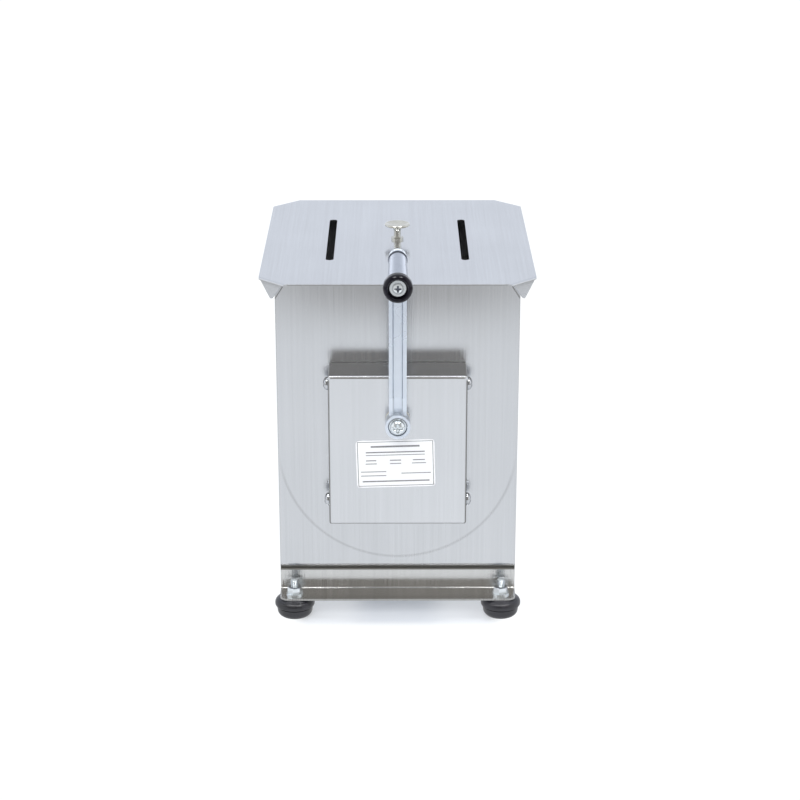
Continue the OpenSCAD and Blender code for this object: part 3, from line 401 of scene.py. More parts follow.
def rail_edges_and_shade(wire, place):
    """The sheared edges of the foot flanges are dull, the legs are darker towards their tops, and painted
    shade lies in the joint under the panel's roll."""
    across, along, height = split(wire, place, "XYZ")
    edge = edge_distance(across, along - RAIL_MID, (RAIL_HALF, RAIL_REACH), RAIL_R)
    sheared = edge.ramp(-0.5 * MM, -0.1 * MM) * RAIL_SHEARED
    darkening = (height - PANEL_LOW).ramp(-14.0 * MM, -8.0 * MM) * RAIL_LEG_DARKENING
    # Painted shade in the joint under the panel's roll.
    joint = (height - PANEL_LOW).ramp(-0.3 * MM, 0.4 * MM) * RAIL_JOINT_SHADE
    return sheared.at_least(darkening).at_least(joint)


def rail_lean(wire, place):
    """-lean * z: the bend is a little short of square, so the leg leans inward."""
    return split(wire, place, "Z") * -RAIL_LEAN


print("the rails' corners have a radius of", RAIL_R)

# %% [markdown]
# With the marks at hand, a sheet is one call: two tones, the direction of its grain, and its marks and
# painted shade. The grain runs up the panels and the cover, back along the lid and the trough, and both ways
# round the rails' bend. One steel could serve them all, but each sheet has its own grain and its own marks.

# %% The sheets
STEEL_DARK, STEEL_PALE = light(192, 194, 197), light(222, 224, 227)
LID_DARK, LID_PALE = light(202, 204, 208), light(230, 233, 237)
RAIL_DARK, RAIL_PALE = light(202, 202, 201), light(232, 232, 231)
COVER_DARK, COVER_PALE = light(200, 202, 205), light(226, 228, 231)
panel_steel = brushed_sheet("panel_steel", STEEL_DARK, STEEL_PALE, "Z", dirt_and_shade=panel_marks_and_shade, bow=panel_lean,
                            matt=panel_inside)
cover_steel = brushed_sheet("cover_steel", COVER_DARK, COVER_PALE, "Z", dirt_and_shade=cover_dirt_and_shade)
lid_steel = brushed_sheet("lid_steel", LID_DARK, LID_PALE, "Y", rough=0.15, slope=0.2, dirt_and_shade=lid_shade)
rail_steel = brushed_sheet("rail_steel", RAIL_DARK, RAIL_PALE, "YZ", rough=0.13, slope=0.9, dirt_and_shade=rail_edges_and_shade,
                           bow=rail_lean)
trough_steel = brushed_sheet("trough_steel", STEEL_DARK, STEEL_PALE, "Y", matt=trough_inside)
sheets = (panel_steel, cover_steel, lid_steel, rail_steel, trough_steel)
print("sheet finishes:", [sheet.name for sheet in sheets])

# %% [markdown]
# ## Bars, castings, plating, rubber and plastic
#
# The other metals differ in how they were made. Zinc plate is bright with a cloudy bloom, die-cast
# aluminium is pebbled by the mould, turned aluminium has fine rings from the tool, and machined steel is
# oily and grey. Each could have nodes of its own, but one function covers them: two tones mixed by noise,
# with a bump of the right size.

# %% One function for the metals that aren't sheet
RING_WAVES, RING_DRIFT, METAL_CLOUDS, BLASTED = 2500.0, 4.0, 45.0, 0.9
# METAL_SHADE is the dark colour of painted shade on these metals.
METAL_SHADE = light(92, 96, 106)


def bumped(wire, shader, strength, height, depth=SKIN_DEPTH):
    """Feeds a bump into the shader's normal, where a height of 1 is as many metres as depth says."""
    slope = wire.add("Bump", None, {"Strength": strength, "Distance": depth, "Height": height}, "Normal")
    wire.feed(shader.inputs["Normal"], slope)


def worked_metal(name, dark, pale, rough, size, bump, rings=None, dirt_and_shade=None, metallic=1.0, matt=None):
    """Metal whose tone and height vary by noise of a size in metres, with turning rings along one axis and
    painted shade if asked: dirt_and_shade(wire, place) is a share of painted shade, and matt(wire, place) is
    where the metal is blasted matt."""
    material, wire, shader = new_finish(name, Metallic=metallic)
    place = wire.add("TexCoord", out="Object")
    height = noise(wire, place, 1 / size, 3.0)
    clouds = noise(wire, place, METAL_CLOUDS)
    if rings:
        height = height + stretched(wire, place, RING_WAVES, RING_DRIFT, rings) * 1.5
    tone = height * 0.5 + clouds * 0.8 - 0.2
    metal = blend(wire, tone.at_most(1.0).at_least(0.0), dark, pale)
    if dirt_and_shade:
        # Painted shade blended into the metal's tone.
        metal = blend(wire, dirt_and_shade(wire, place), metal, METAL_SHADE)
    if matt:
        wire.feed(shader.inputs["Metallic"], (1 - matt(wire, place) * BLASTED) * metallic)
    wire.feed(shader.inputs["Base Color"], metal)
    wire.feed(shader.inputs["Roughness"], rough + (clouds - 0.5) * 0.25)
    bumped(wire, shader, bump, height)
    return material


print("turning rings a metre:", RING_WAVES)

# %% [markdown]
# The crank arm is a casting with a channel down its face. Painted shade lies along the channel's feet and
# round the dish of its boss, and its head is blasted matt. Ambient occlusion would darken all corners alike;
# lines at known places can be thin and patchy.

# %% Painted shade on the crank arm
BOSS_HALF, BOSS_FADE = 12.3 * MM, 4.0 * MM
CRANK_Z = sum(corner[2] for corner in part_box("crank_shaft")) / 2
# LINE_SHADE and DISH_SHADE are how dark the painted shade is.
CHANNEL_LINE, LINE_HALF, LINE_SHADE = 4.4 * MM, 0.6 * MM, 0.6
DISH_LINE, DISH_HALF, DISH_SHADE = 9.0 * MM, 1.1 * MM, 0.7
PATCH_WAVES = 110.0


def channel_shade(wire, place):
    """Painted shade: dark lines along the feet of the arm's channel, from boss to grip, and round the boss's
    dish, mostly above its middle.
    """
    across, height = split(wire, place, "XZ")
    up = height - CRANK_Z
    # Painted shade along the channel's feet and round the boss's dish, made patchy by noise.
    line = 1 - ((across.absolute() - CHANNEL_LINE) / LINE_HALF).absolute().ramp(0.3, 1.0)
    line = line * up.ramp(BOSS_HALF, BOSS_HALF + BOSS_FADE) * LINE_SHADE
    round_dish = ((length(across, up) - DISH_LINE) / DISH_HALF).absolute()
    dish = (1 - round_dish.ramp(0.4, 1.0)) * up.ramp(-2.0 * MM, 4.0 * MM) * DISH_SHADE
    return line.at_least(dish) * (0.4 + noise(wire, place, PATCH_WAVES, 3.0))


GRIP_Z = sum(corner[2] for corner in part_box("grip_sleeve")) / 2


def arm_head(wire, place):
    """The head of the crank arm, round the grip's foot."""
    return (split(wire, place, "Z") - GRIP_Z).ramp(-14.0 * MM, -9.0 * MM)


print("crank axis at", CRANK_Z, "grip axis at", GRIP_Z)

# %% [markdown]
# The lid's knob is polished above and carries painted shade under its disc, the nuts carry painted shade on
# top, and the studs' ends are sawn. Each could have a second material on some faces, but a mask by place
# keeps one material a piece and gives a soft edge.

# %% Painted shade on the knob and the nuts, and the studs' sawn ends
KNOB_LOW, KNOB_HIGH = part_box("lid_knob")
KNOB_Y, KNOB_NECK, KNOB_RIM = (KNOB_LOW[1] + KNOB_HIGH[1]) / 2, 4.6 * MM, 3.2 * MM
# KNOB_SHADE is how dark the painted shade under the knob's disc is.
KNOB_SHADE = 0.8


def knob_underside_shade(wire, place):
    """Painted shade under the knob's disc: outside the neck and below the rim."""
    across, along, height = split(wire, place, "XYZ")
    outside = (length(across, along - KNOB_Y) - KNOB_NECK).ramp(0.0, 2.0 * MM)
    under = 1 - (height - (KNOB_HIGH[2] - KNOB_RIM)).ramp(0.0, 0.8 * MM)
    head = (height - KNOB_LOW[2]).ramp(5.0 * MM, 6.0 * MM)
    return outside * under * head * KNOB_SHADE


# NUT_SHADE is how dark the painted shade on the nuts' tops is.
NUT_TOP, NUT_SHADE, STUD_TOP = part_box("foot_nuts")[1][2], 0.6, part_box("foot_studs")[1][2]


def nut_top_shade(wire, place):
    """Painted shade on the upper faces of the nuts."""
    return (split(wire, place, "Z") - NUT_TOP).ramp(-0.5 * MM, -0.1 * MM) * NUT_SHADE


def stud_end(wire, place):
    """The sawn upper ends of the foot studs."""
    return (split(wire, place, "Z") - STUD_TOP).ramp(-0.5 * MM, -0.2 * MM)


print("nut tops at", NUT_TOP, "stud ends at", STUD_TOP)

# %% [markdown]
# The screw in the grip's end has painted shade in its cross. Where the cross is could be worked out again,
# but it is simpler to ask how far a point lies behind the plain dome of the head: only the recess does.

# %% Painted shade in the grip's screw
SCREW_LOW, SCREW_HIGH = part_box("grip_screw")
SCREW_X, SCREW_Z = (SCREW_LOW[0] + SCREW_HIGH[0]) / 2, (SCREW_LOW[2] + SCREW_HIGH[2]) / 2
SCREW_R, SCREW_DOME = (SCREW_HIGH[0] - SCREW_LOW[0]) / 2, 2.25 * MM


def recess_shade(wire, place):
    """Painted shade in the cross recess of the grip's screw: how far it lies behind a dome D sqrt(1 - r^2 /
    R^2).
    """
    across, back, height = split(wire, place, "XYZ")
    aside, up = across - SCREW_X, height - SCREW_Z
    dome = (1 - (aside * aside + up * up) / SCREW_R ** 2).at_least(0.0) ** 0.5
    sunk = (back - SCREW_LOW[1]) - (1 - dome) * SCREW_DOME
    # Painted shade where a point lies behind the dome, in the cross.
    return sunk.ramp(0.15 * MM, 0.5 * MM) * dome.ramp(0.3, 0.5)


print("screw head radius:", SCREW_R)

# %% [markdown]
# Each metal is then one call: two tones, how rough it is, the size of its grain and the strength of its
# bump. They could be mixed by eye in the viewport, but written side by side they can be compared: plated
# pieces are the palest and smoothest, and the gears the darkest.

# %% The metals
ZINC_DARK, ZINC_PALE = light(204, 212, 216), light(244, 248, 251)
zinc_plate = worked_metal("zinc_plate", ZINC_DARK, ZINC_PALE, rough=0.12, size=1.2 * MM, bump=0.1,
                          metallic=0.75)
nut_zinc = worked_metal("nut_zinc", ZINC_DARK, ZINC_PALE, rough=0.12, size=1.2 * MM, bump=0.1,
                        dirt_and_shade=nut_top_shade, metallic=0.7)
screw_zinc = worked_metal("screw_zinc", light(214, 222, 226), light(250, 253, 255), rough=0.12, size=1.2 * MM,
                          bump=0.1, dirt_and_shade=recess_shade, metallic=0.6)
stud_zinc = worked_metal("stud_zinc", light(160, 167, 172), light(206, 212, 216), rough=0.2, size=0.8 * MM,
                         bump=0.2, metallic=0.9, matt=stud_end)
bright_screw = worked_metal("bright_screw", light(150, 152, 156), light(232, 235, 239), rough=0.1,
                            size=2.5 * MM, bump=0.1)
cast_aluminium = worked_metal("cast_aluminium", light(198, 206, 217), light(230, 237, 245), rough=0.3,
                              size=0.9 * MM, bump=0.2, dirt_and_shade=channel_shade, metallic=0.65, matt=arm_head)
turned_aluminium = worked_metal("turned_aluminium", light(144, 151, 164), light(176, 183, 196), rough=0.14,
                                size=1.5 * MM, bump=0.12, rings="Y")
knob_nickel = worked_metal("knob_nickel", light(170, 170, 163), light(228, 227, 220), rough=0.05,
                           size=3.0 * MM, bump=0.05, dirt_and_shade=knob_underside_shade, metallic=0.75)
turned_stainless = worked_metal("turned_stainless", light(170, 172, 175), light(212, 214, 217), rough=0.28,
                                size=1.5 * MM, bump=0.2, rings="Y", metallic=0.7)
gear_steel = worked_metal("gear_steel", light(110, 110, 112), light(160, 160, 162), rough=0.35,
                          size=0.8 * MM, bump=0.25)
print("finishes so far:", len(bpy.data.materials))

# %% [markdown]
# Rubber and plastic aren't metal: they scatter light under a dull or satin skin. The rubber feet have a
# fine moulded grain and pale dust, and the grip's end cap is smoother, with a soft shine on its rounded
# edge. The metals' function could make them too, but here the strength of the shine has to be set, so they
# have a shorter one of their own.

# %% Moulded pieces
DUST_WAVES = 60.0


def moulded(name, dark, pale, rough, size, bump, shine=0.5):
    """Rubber or plastic: two close tones by broad noise, and a fine skin of a size in metres."""
    material, wire, shader = new_finish(name, Metallic=0.0, Specular_IOR_Level=shine)
    place = wire.add("TexCoord", out="Object")
    dust = noise(wire, place, DUST_WAVES, 4.0)
    wire.feed(shader.inputs["Base Color"], blend(wire, dust.ramp(0.35, 0.75), dark, pale))
    wire.feed(shader.inputs["Roughness"], rough + (dust - 0.5) * 0.3)
    bumped(wire, shader, bump, noise(wire, place, 1 / size))
    return material


foot_rubber = moulded("foot_rubber", light(18, 18, 24), light(37, 36, 44), rough=0.34, size=0.6 * MM,
                      bump=0.3, shine=0.7)
cap_plastic = moulded("cap_plastic", light(11, 10, 18), light(20, 18, 28), rough=0.1, size=0.5 * MM,
                      bump=0.05, shine=0.24)
bush_nylon = moulded("bush_nylon", light(214, 210, 198), light(232, 229, 219), rough=0.45, size=0.8 * MM,
                     bump=0.15)
print("finishes so far:", len(bpy.data.materials))

# %% [markdown]
# Every solid gets one finish, and like pieces share it. Finishes could be set piece by piece, but one list
# from finish to pieces shows at once what is made of what, and its count has to be the number of nodes.

# %% A finish for every node
FINISH_OF = {
    panel_steel: ["front_panel", "rear_panel"],
    cover_steel: ["gear_cover", "cover_brackets", "bearing_plate"],
    lid_steel: ["lid"],
    rail_steel: ["front_foot_rail", "rear_foot_rail"],
    trough_steel: ["trough"],
    zinc_plate: ["foot_washers", "plate_nuts", "crank_washer", "crank_bolt", "grip_washer", "lid_knob_screw"],
    nut_zinc: ["foot_nuts"],
    screw_zinc: ["grip_screw"],
    stud_zinc: ["foot_studs", "plate_studs"],
    bright_screw: ["cover_screws"],
    cast_aluminium: ["crank_arm"],
    turned_aluminium: ["grip_sleeve"],
    knob_nickel: ["lid_knob"],
    turned_stainless: ["rear_boss", "rear_pivot", "crank_shaft", "grip_spindle", "drive_stub", "coupling_pin",
                       "mixing_shaft", "paddle_1", "paddle_2", "paddle_3", "paddle_4"],
    gear_steel: ["pinion", "pinion_pin", "drive_gear", "gear_pin", "gear_clip"],
    foot_rubber: ["foot_front_left", "foot_front_right", "foot_rear_left", "foot_rear_right", "shaft_seal"],
    cap_plastic: ["grip_end_cap"],
    bush_nylon: ["cover_bush", "crank_bush", "front_shaft_bush", "rear_bush"],
}
for finish, names in FINISH_OF.items():
    for name in names:
        NODES[name].data.materials.clear()
        NODES[name].data.materials.append(finish)
print("nodes with a finish:", sum(len(names) for names in FINISH_OF.values()), "of", len(NODES))

# %% [markdown]
# ## Pieces too fine for the solids
#
# A new piece is a grid of points: one parameter runs along a profile and the other runs round it. Modelling
# by hand would give the same shapes, but a formula can be read, and it fits the solids because its sizes
# come from their boxes. Points that fall together, at a seam or a pole, are merged, and the faces are
# turned out.

# %% From grids of points to a piece
def skin(name, grids, finish, body):
    """One mesh from grids of points (rows, columns, 3). Equal points merge, which closes seams and poles."""
    corners = np.concatenate([grid.reshape(-1, 3) for grid in grids])
    starts = np.cumsum([0] + [grid.shape[0] * grid.shape[1] for grid in grids])
    quads = []
    for grid, start in zip(grids, starts):
        index = start + np.arange(grid.shape[0] * grid.shape[1]).reshape(grid.shape[:2])
        ways = (index[:-1, :-1], index[:-1, 1:], index[1:, 1:], index[1:, :-1])
        quads.append(np.stack(ways, -1).reshape(-1, 4))
    mesh = bpy.data.meshes.new(name)
    mesh.from_pydata(corners.tolist(), [], np.concatenate(quads).tolist())
    work = bmesh.new()
    work.from_mesh(mesh)
    bmesh.ops.remove_doubles(work, verts=work.verts, dist=1e-7)
    bmesh.ops.recalc_face_normals(work, faces=work.faces)
    work.to_mesh(mesh)
    work.free()
    mesh.polygons.foreach_set("use_smooth", np.ones(len(mesh.polygons), dtype=bool))
    mesh.materials.append(finish)
    piece = bpy.data.objects.new(name, mesh)
    bpy.context.scene.collection.objects.link(piece)
    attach(piece, body)
    print(name, "has", len(mesh.polygons), "faces")
    return piece


def soft_step(values, low, high):
    """0 below low, 1 above high, and 3t^2 - 2t^3 between them."""
    t = np.clip((values - low) / (high - low), 0, 1)
    return t * t * (3 - 2 * t)


TURN = np.linspace(0, 2 * math.pi, 97)
print("steps round a turn:", len(TURN) - 1)

# %% [markdown]
# The crank bolt, the grip's screw and the cover's four screws are pan heads with a cross recess. The punch
# that forms it leaves a soft edged cross, deepest in the middle. A cross could be cut by a Boolean; here
# the head's own grid sinks where the cross is, which keeps its edges soft.

# %% Screws with a cross recess
DOME_ROWS, CROSS_HALF, CROSS_REACH, CROSS_SOFT = 60, 0.16, 0.62, 0.06


def cross_screw(head_r, head_h, shank_r, shank_l):
    """Rows run from the dome's pole to the shank's end: r = R cos a and h = rim + (H - rim) sin a on the
    dome, less a soft cross that is deepest at the pole. Returns x, y and height."""
    rim = head_h / 4
    angle = np.linspace(math.pi / 2, 0, DOME_ROWS)
    radius = np.concatenate([head_r * np.cos(angle), [head_r, shank_r, shank_r, 0]])
    height = np.concatenate([rim + (head_h - rim) * np.sin(angle), [0, 0, -shank_l, -shank_l]])
    x, y = radius[:, None] * np.cos(TURN), radius[:, None] * np.sin(TURN)
    half, reach, edge = CROSS_HALF * head_r, CROSS_REACH * head_r, CROSS_SOFT * head_r

    def bar(along, across):
        """1 within half a width across and a reach along, with soft edges."""
        inside = 1 - soft_step(np.abs(across), half - edge, half + edge)
        return inside * (1 - soft_step(np.abs(along), reach - edge, reach + edge))

    on_head = (np.arange(len(radius)) < len(angle))[:, None]
    sink = 0.5 * head_h * np.maximum(bar(x, y), bar(y, x)) * (1 - 0.6 * np.hypot(x, y) / head_r) * on_head
    return x, y, height[:, None] - sink


def front_screw(name, node, head_h, shank_r, finish):
    """A cross screw in place of a node whose head faces the front: height is towards -Y."""
    low, high = [np.array(corner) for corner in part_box(node)]
    middle, head_r = (low + high) / 2, (high[0] - low[0]) / 2
    x, y, height = cross_screw(head_r, head_h, shank_r, high[1] - low[1] - head_h)
    grid = np.stack([middle[0] + x, low[1] + head_h - height, middle[2] + y], -1)
    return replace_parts(skin(name, [grid], finish, "crank"), node)


front_screw("crank_bolt_cross", "crank_bolt", head_h=6.4 * MM, shank_r=3.0 * MM, finish=zinc_plate)
front_screw("grip_screw_cross", "grip_screw", head_h=3.0 * MM, shank_r=2.5 * MM, finish=screw_zinc)

# %% [markdown]
# The cover is held by two screws on each side, which face outward. Copies of one object could be turned by
# hand; here the same grid is laid to the left or the right by a sign, so that all four are one piece.

# %% The four screws in the cover's sides
low, high = [np.array(corner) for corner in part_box("cover_screws")]
SIDE_HEAD_H, SIDE_SHANK_L, SIDE_SHANK_R = 5.6 * MM, 12.0 * MM, 2.5 * MM
side_head_r, side_y = (high[1] - low[1]) / 2, (low[1] + high[1]) / 2
x, y, height = cross_screw(side_head_r, SIDE_HEAD_H, SIDE_SHANK_R, SIDE_SHANK_L)
side_grids = []
for hand in (-1, 1):
    for middle_z in (low[2] + side_head_r, high[2] - side_head_r):
        out = hand * (high[0] - SIDE_HEAD_H + height)
        side_grids.append(np.stack([out, side_y + x, middle_z + hand * y], -1))
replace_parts(skin("cover_screws_cross", side_grids, bright_screw, "frame"), "cover_screws")

# %% [markdown]
# The feet hang on studs with a coarse rolled thread. A Screw modifier could wind a tooth up the bar, but
# its ends stay open. A thread is also a bar whose radius depends on how far the helix has turned at that
# height, so one formula on a grid of angle and height gives all of it, closed at both ends.

# %% Threaded studs
THREAD_ROWS, THREAD_END = 240, 0.1 * MM


def threaded_bar(radius, depth, pitch, low_z, high_z):
    """r = R - depth * tooth(z / pitch - angle / turn), where tooth is a triangle wave from 0 to 1. The ends
    taper over one depth and close on the axis."""
    z = np.linspace(low_z, high_z, THREAD_ROWS)
    phase = z[:, None] / pitch - TURN / (2 * math.pi)
    tooth = np.abs(2 * (phase - np.floor(phase)) - 1)
    taper = np.minimum(radius, radius - depth - THREAD_END + np.minimum(z - low_z, high_z - z))
    r = np.minimum(radius - depth * tooth, taper[:, None])
    r = np.vstack([0 * r[:1], r, 0 * r[:1]])
    z = np.concatenate([z[:1], z, z[-1:]])[:, None] + 0 * TURN
    return np.stack([r * np.cos(TURN), r * np.sin(TURN), z], -1)


low, high = [np.array(corner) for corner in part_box("foot_studs")]
STUD_R, THREAD_DEPTH, THREAD_PITCH = 4.0 * MM, 0.65 * MM, 1.25 * MM
stud = threaded_bar(STUD_R, THREAD_DEPTH, THREAD_PITCH, low[2], high[2])
stud_grids = [stud + np.array([stud_x, stud_y, 0]) for stud_x in (low[0] + STUD_R, high[0] - STUD_R)
              for stud_y in (low[1] + STUD_R, high[1] - STUD_R)]
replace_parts(skin("foot_studs_thread", stud_grids, stud_zinc, "frame"), "foot_studs")

# %% [markdown]
# The trough is welded to the end panels along its whole section. The bead is a thin round cord of metal
# with a ripple from each drop, and it follows the trough's outline, a U. A curve with a round bevel could
# follow it too, but without the ripple. Here a small circle is carried along that U, and its radius swells
# with each drop and dies away at both ends.

# %% Weld beads between the trough and the end panels
WELD_ROWS, WELD_SIDES, WELD_RIPPLE, WELD_FADE = 2600, 12, 0.14, 3 * MM


def weld_bead(wall_y, top_z, bead_r, ripple):
    """A circle of radius b (1 + 0.14 sin(2 pi s / ripple)) carried along the U of two walls at the trough's
    radius and a half circle under the shaft, where s is the length along the U."""
    wall = top_z - SHAFT_Z
    bend = math.pi * TROUGH_R
    along = np.linspace(0, 2 * wall + bend, WELD_ROWS)
    turn = np.clip((along - wall) / TROUGH_R, 0, math.pi)
    rise = np.maximum(wall - along, 0) + np.maximum(along - wall - bend, 0)
    out_x, out_z = -np.cos(turn), -np.sin(turn)
    ends = np.sqrt(np.clip(np.minimum(along, along[-1] - along) / WELD_FADE, 0, 1))
    radius = bead_r * (1 + WELD_RIPPLE * np.sin(2 * math.pi * along / ripple)) * ends
    ring = np.linspace(0, 2 * math.pi, WELD_SIDES + 1)
    swell = radius[:, None] * np.cos(ring)
    x = TROUGH_R * out_x[:, None] + out_x[:, None] * swell
    z = SHAFT_Z + rise[:, None] + TROUGH_R * out_z[:, None] + out_z[:, None] * swell
    return np.stack([x, wall_y + radius[:, None] * np.sin(ring), z], -1)


trough_low, trough_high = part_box("trough")
WELD_TOP, WELD_R, WELD_STEP, WELD_IN = trough_high[2] - 9 * MM, 1.1 * MM, 1.9 * MM, 0.2 * MM
bead_walls = (trough_low[1] + WELD_IN, trough_high[1] - WELD_IN)
bead_grids = [weld_bead(wall_y, WELD_TOP, WELD_R, WELD_STEP) for wall_y in bead_walls]
weld_metal = worked_metal("weld_metal", light(150, 146, 140), light(206, 204, 200), rough=0.3, size=1.0 * MM,
                          bump=0.3)
skin("weld_beads", bead_grids, weld_metal, "frame")

# %% [markdown]
# A white paper sticker is on the cover, a little crooked, with a thin ruled border and blank ruled lines.
# It is a thin slab with rounded corners: its outline is a rounded rectangle, and its profile goes from the
# middle of the front over the edge to the middle of the back. A plane would do from the front, but a slab
# has an edge that catches the light.

# %% The blank sticker
STICKER_W, STICKER_H, STICKER_T, STICKER_TURN = 77.4 * MM, 49.7 * MM, 0.14 * MM, math.radians(1.6)
STICKER_X, STICKER_Z = -2.1 * MM, 177.5 * MM
STICKER_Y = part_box("gear_cover")[0][1]
OUTLINE_POWER = 24


def sticker_grid():
    """Outline: the superellipse |x / a|^24 + |z / b|^24 = 1, turned a little. Profile: shares of the
    outline's reach against depth in thicknesses."""
    total = np.abs(np.cos(TURN)) ** OUTLINE_POWER + np.abs(np.sin(TURN)) ** OUTLINE_POWER
    reach = total ** (-1 / OUTLINE_POWER)
    flat_x, flat_z = reach * np.cos(TURN) * STICKER_W / 2, reach * np.sin(TURN) * STICKER_H / 2
    share = np.array([0, 0.5, 0.992, 0.998, 1, 1, 0])[:, None]
    depth = np.array([1, 1, 1, 0.9, 0.6, -0.5, -0.5])[:, None] * STICKER_T
    x, z = share * flat_x, share * flat_z
    turned_x = x * math.cos(STICKER_TURN) - z * math.sin(STICKER_TURN)
    turned_z = x * math.sin(STICKER_TURN) + z * math.cos(STICKER_TURN)
    return np.stack([STICKER_X + turned_x, STICKER_Y - depth + 0 * x, STICKER_Z + turned_z], -1)


print("sticker at", STICKER_X, STICKER_Y, STICKER_Z)

# %% [markdown]
# The ruling could be a picture on the sticker. As a formula it stays sharp at any distance: a point has ink
# where it is nearer to a line's middle than half its width. Each rule below is a middle, a half length, a
# height and a half width in mm, counted from the middle of the sticker.

# %% The sticker's paper and ruling
RULES = [(0, 24, 18.2, 0.9), (0, 29, 12.2, 0.65), (0, 29, 9.2, 0.4), (-24, 5, 3.6, 0.55),
         (0, 5.5, 3.6, 0.55), (23, 6, 3.6, 0.55), (-24, 5.5, 0.2, 0.45), (0, 5.5, 0.2, 0.45),
         (23, 7, 0.2, 0.45), (-22, 12.5, -8.2, 0.45), (-22, 12.5, -12.4, 0.45), (20, 14.5, -10.3, 0.45),
         (0, 33, -18.4, 0.7)]
BORDER_IN, BORDER_END, RULE_INK, FIBRE_WAVES, FIBRE_DEPTH = 1.7 * MM, 1.5 * MM, 0.8, 900.0, 0.1 * MM
PAPER, INK = light(238, 238, 238), light(40, 40, 44)


def border_pair(off, off_half, run, run_half):
    """Two opposite lines of the border: a little inside the edges, and no longer than the border."""
    near = 1 - (off.absolute() - (off_half - BORDER_IN)).absolute().ramp(0.2 * MM, 0.34 * MM)
    return near * (1 - (run.absolute() - (run_half - BORDER_END)).ramp(0.0, 0.1 * MM))


def sticker_paper():
    """White paper with fibres. A ruled line is where the distance from its middle is under half its width."""
    material, wire, shader = new_finish("sticker_paper", Metallic=0.0)
    place = wire.add("TexCoord", out="Object")
    middle = (STICKER_X, 0.0, STICKER_Z)
    centred = wire.add("VectorMath", {"operation": "SUBTRACT"}, {0: place, 1: middle}, "Vector")
    level = wire.add("Mapping", None, {"Vector": centred, "Rotation": (0.0, STICKER_TURN, 0.0)}, "Vector")
    across, up = split(wire, level, "XZ")
    fibres = noise(wire, place, FIBRE_WAVES)
    ink = border_pair(across, STICKER_W / 2, up, STICKER_H / 2)
    ink = ink.at_least(border_pair(up, STICKER_H / 2, across, STICKER_W / 2))
    for middle_x, half, height, thick in RULES:
        rule = 1 - ((across - middle_x * MM).absolute() - half * MM).ramp(-0.1 * MM, 0.1 * MM)
        rule = rule * (1 - ((up - height * MM).absolute() - thick * MM).ramp(-0.12 * MM, 0.12 * MM))
        ink = ink.at_least(rule * RULE_INK)
    wire.feed(shader.inputs["Base Color"], blend(wire, ink * (0.75 + fibres * 0.4), PAPER, INK))
    wire.feed(shader.inputs["Roughness"], 0.42 + fibres * 0.15)
    bumped(wire, shader, 0.08, fibres, FIBRE_DEPTH)
    return material


skin("blank_sticker", [sticker_grid()], sticker_paper(), "frame")

# %% [markdown]
# ## The studio
#
# The mixer stands on a white table. Polished sheet shows its surroundings, so the studio matters as much as
# the finish: white behind and below, bright above and at the sides, and darker in front, where the camera
# is. Two small lamps high in front give the sparks on studs, screws and the grip's cap. A picture of a room
# could give that light, but a formula on the ray's direction can be set part by part. Rays from the camera
# see plain white.

# %% World: a bright room that is darker in front
world = bpy.data.worlds.new("studio")
bpy.context.scene.world = world
world.use_nodes = True
room = Wire(world.node_tree)
seen, mirrored = room.add("LightPath", out=("Is Camera Ray", "Is Glossy Ray"))
ray = room.add("TexCoord", out="Generated")
side, back, up = split(room, ray, "XYZ")
FRONT_LEVEL, SIDE_LEVEL, TOP_LEVEL, ZENITH_LEVEL, FILL_LEVEL = 0.34, 1.1, 1.6, 0.9, 0.6
BACK_LEVEL, BACK_FALL = 0.85, 0.5
SPOTS, SPOT_LEVEL = ((-0.30, -0.31, 0.90), (0.30, -0.31, 0.90)), 16.0
rear = back.ramp(-0.15, 0.3)
behind = rear * (BACK_LEVEL + BACK_FALL * (1 - up.ramp(0.0, 0.22)))
level = (side.absolute().ramp(0.5, 0.85) * SIDE_LEVEL).at_least(behind)
above = up.ramp(0.78, 0.92) * TOP_LEVEL - up.ramp(0.93, 0.98) * (TOP_LEVEL - ZENITH_LEVEL)
level = level.at_least(above).at_least(FRONT_LEVEL)
for spot in SPOTS:
    facing = room.add("VectorMath", {"operation": "DOT_PRODUCT"}, {0: ray, 1: spot}, "Value")
    level = level.at_least(facing.ramp(0.986, 0.994) * SPOT_LEVEL)
backdrop = world.node_tree.nodes["Background"]
room.feed(backdrop.inputs["Strength"], seen + (1 - seen) * (mirrored * level + (1 - mirrored) * FILL_LEVEL))
WARM, COOL, WHITE = (1.0, 0.96, 0.91, 1.0), (0.94, 0.98, 1.06, 1.0), (1.0, 1.0, 1.0, 1.0)
tint = blend(room, rear, blend(room, level.ramp(0.3, 0.8), WARM, WHITE), COOL)
room.feed(backdrop.inputs["Color"], blend(room, seen, tint, WHITE))
print("world ready")

# %% [markdown]
# The table is one flat face, far wider than the picture. It could be a curved backdrop, as in studios, but
# the world behind is white already, so a plain sheet is enough. It is not attached to the mixer.

# %% The table
FLOOR_HALF = 4.0
floor_mesh = bpy.data.meshes.new("floor")
floor_corners = [(-FLOOR_HALF, -FLOOR_HALF, 0), (FLOOR_HALF, -FLOOR_HALF, 0), (FLOOR_HALF, FLOOR_HALF, 0),
                 (-FLOOR_HALF, FLOOR_HALF, 0)]
floor_mesh.from_pydata(floor_corners, [], [(0, 1, 2, 3)])
floor = bpy.data.objects.new("floor", floor_mesh)
bpy.context.scene.collection.objects.link(floor)
print("floor half width:", FLOOR_HALF)

# %% [markdown]
# The table's face is white card that also glows. Far from the mixer the glow shows plain white, and near it
# the card's own matt white takes over, so that the soft shadow stays. Where the glow gives way is set by
# place, a painted outline for that shadow, and the matt white is a little blue, which tints it. In
# reflections the card dims with distance, as a real table does outside the lamps' reach: that is why the
# panel is darker near its top. Lamps alone could do this, but their falloff would grey the picture's edges
# too.

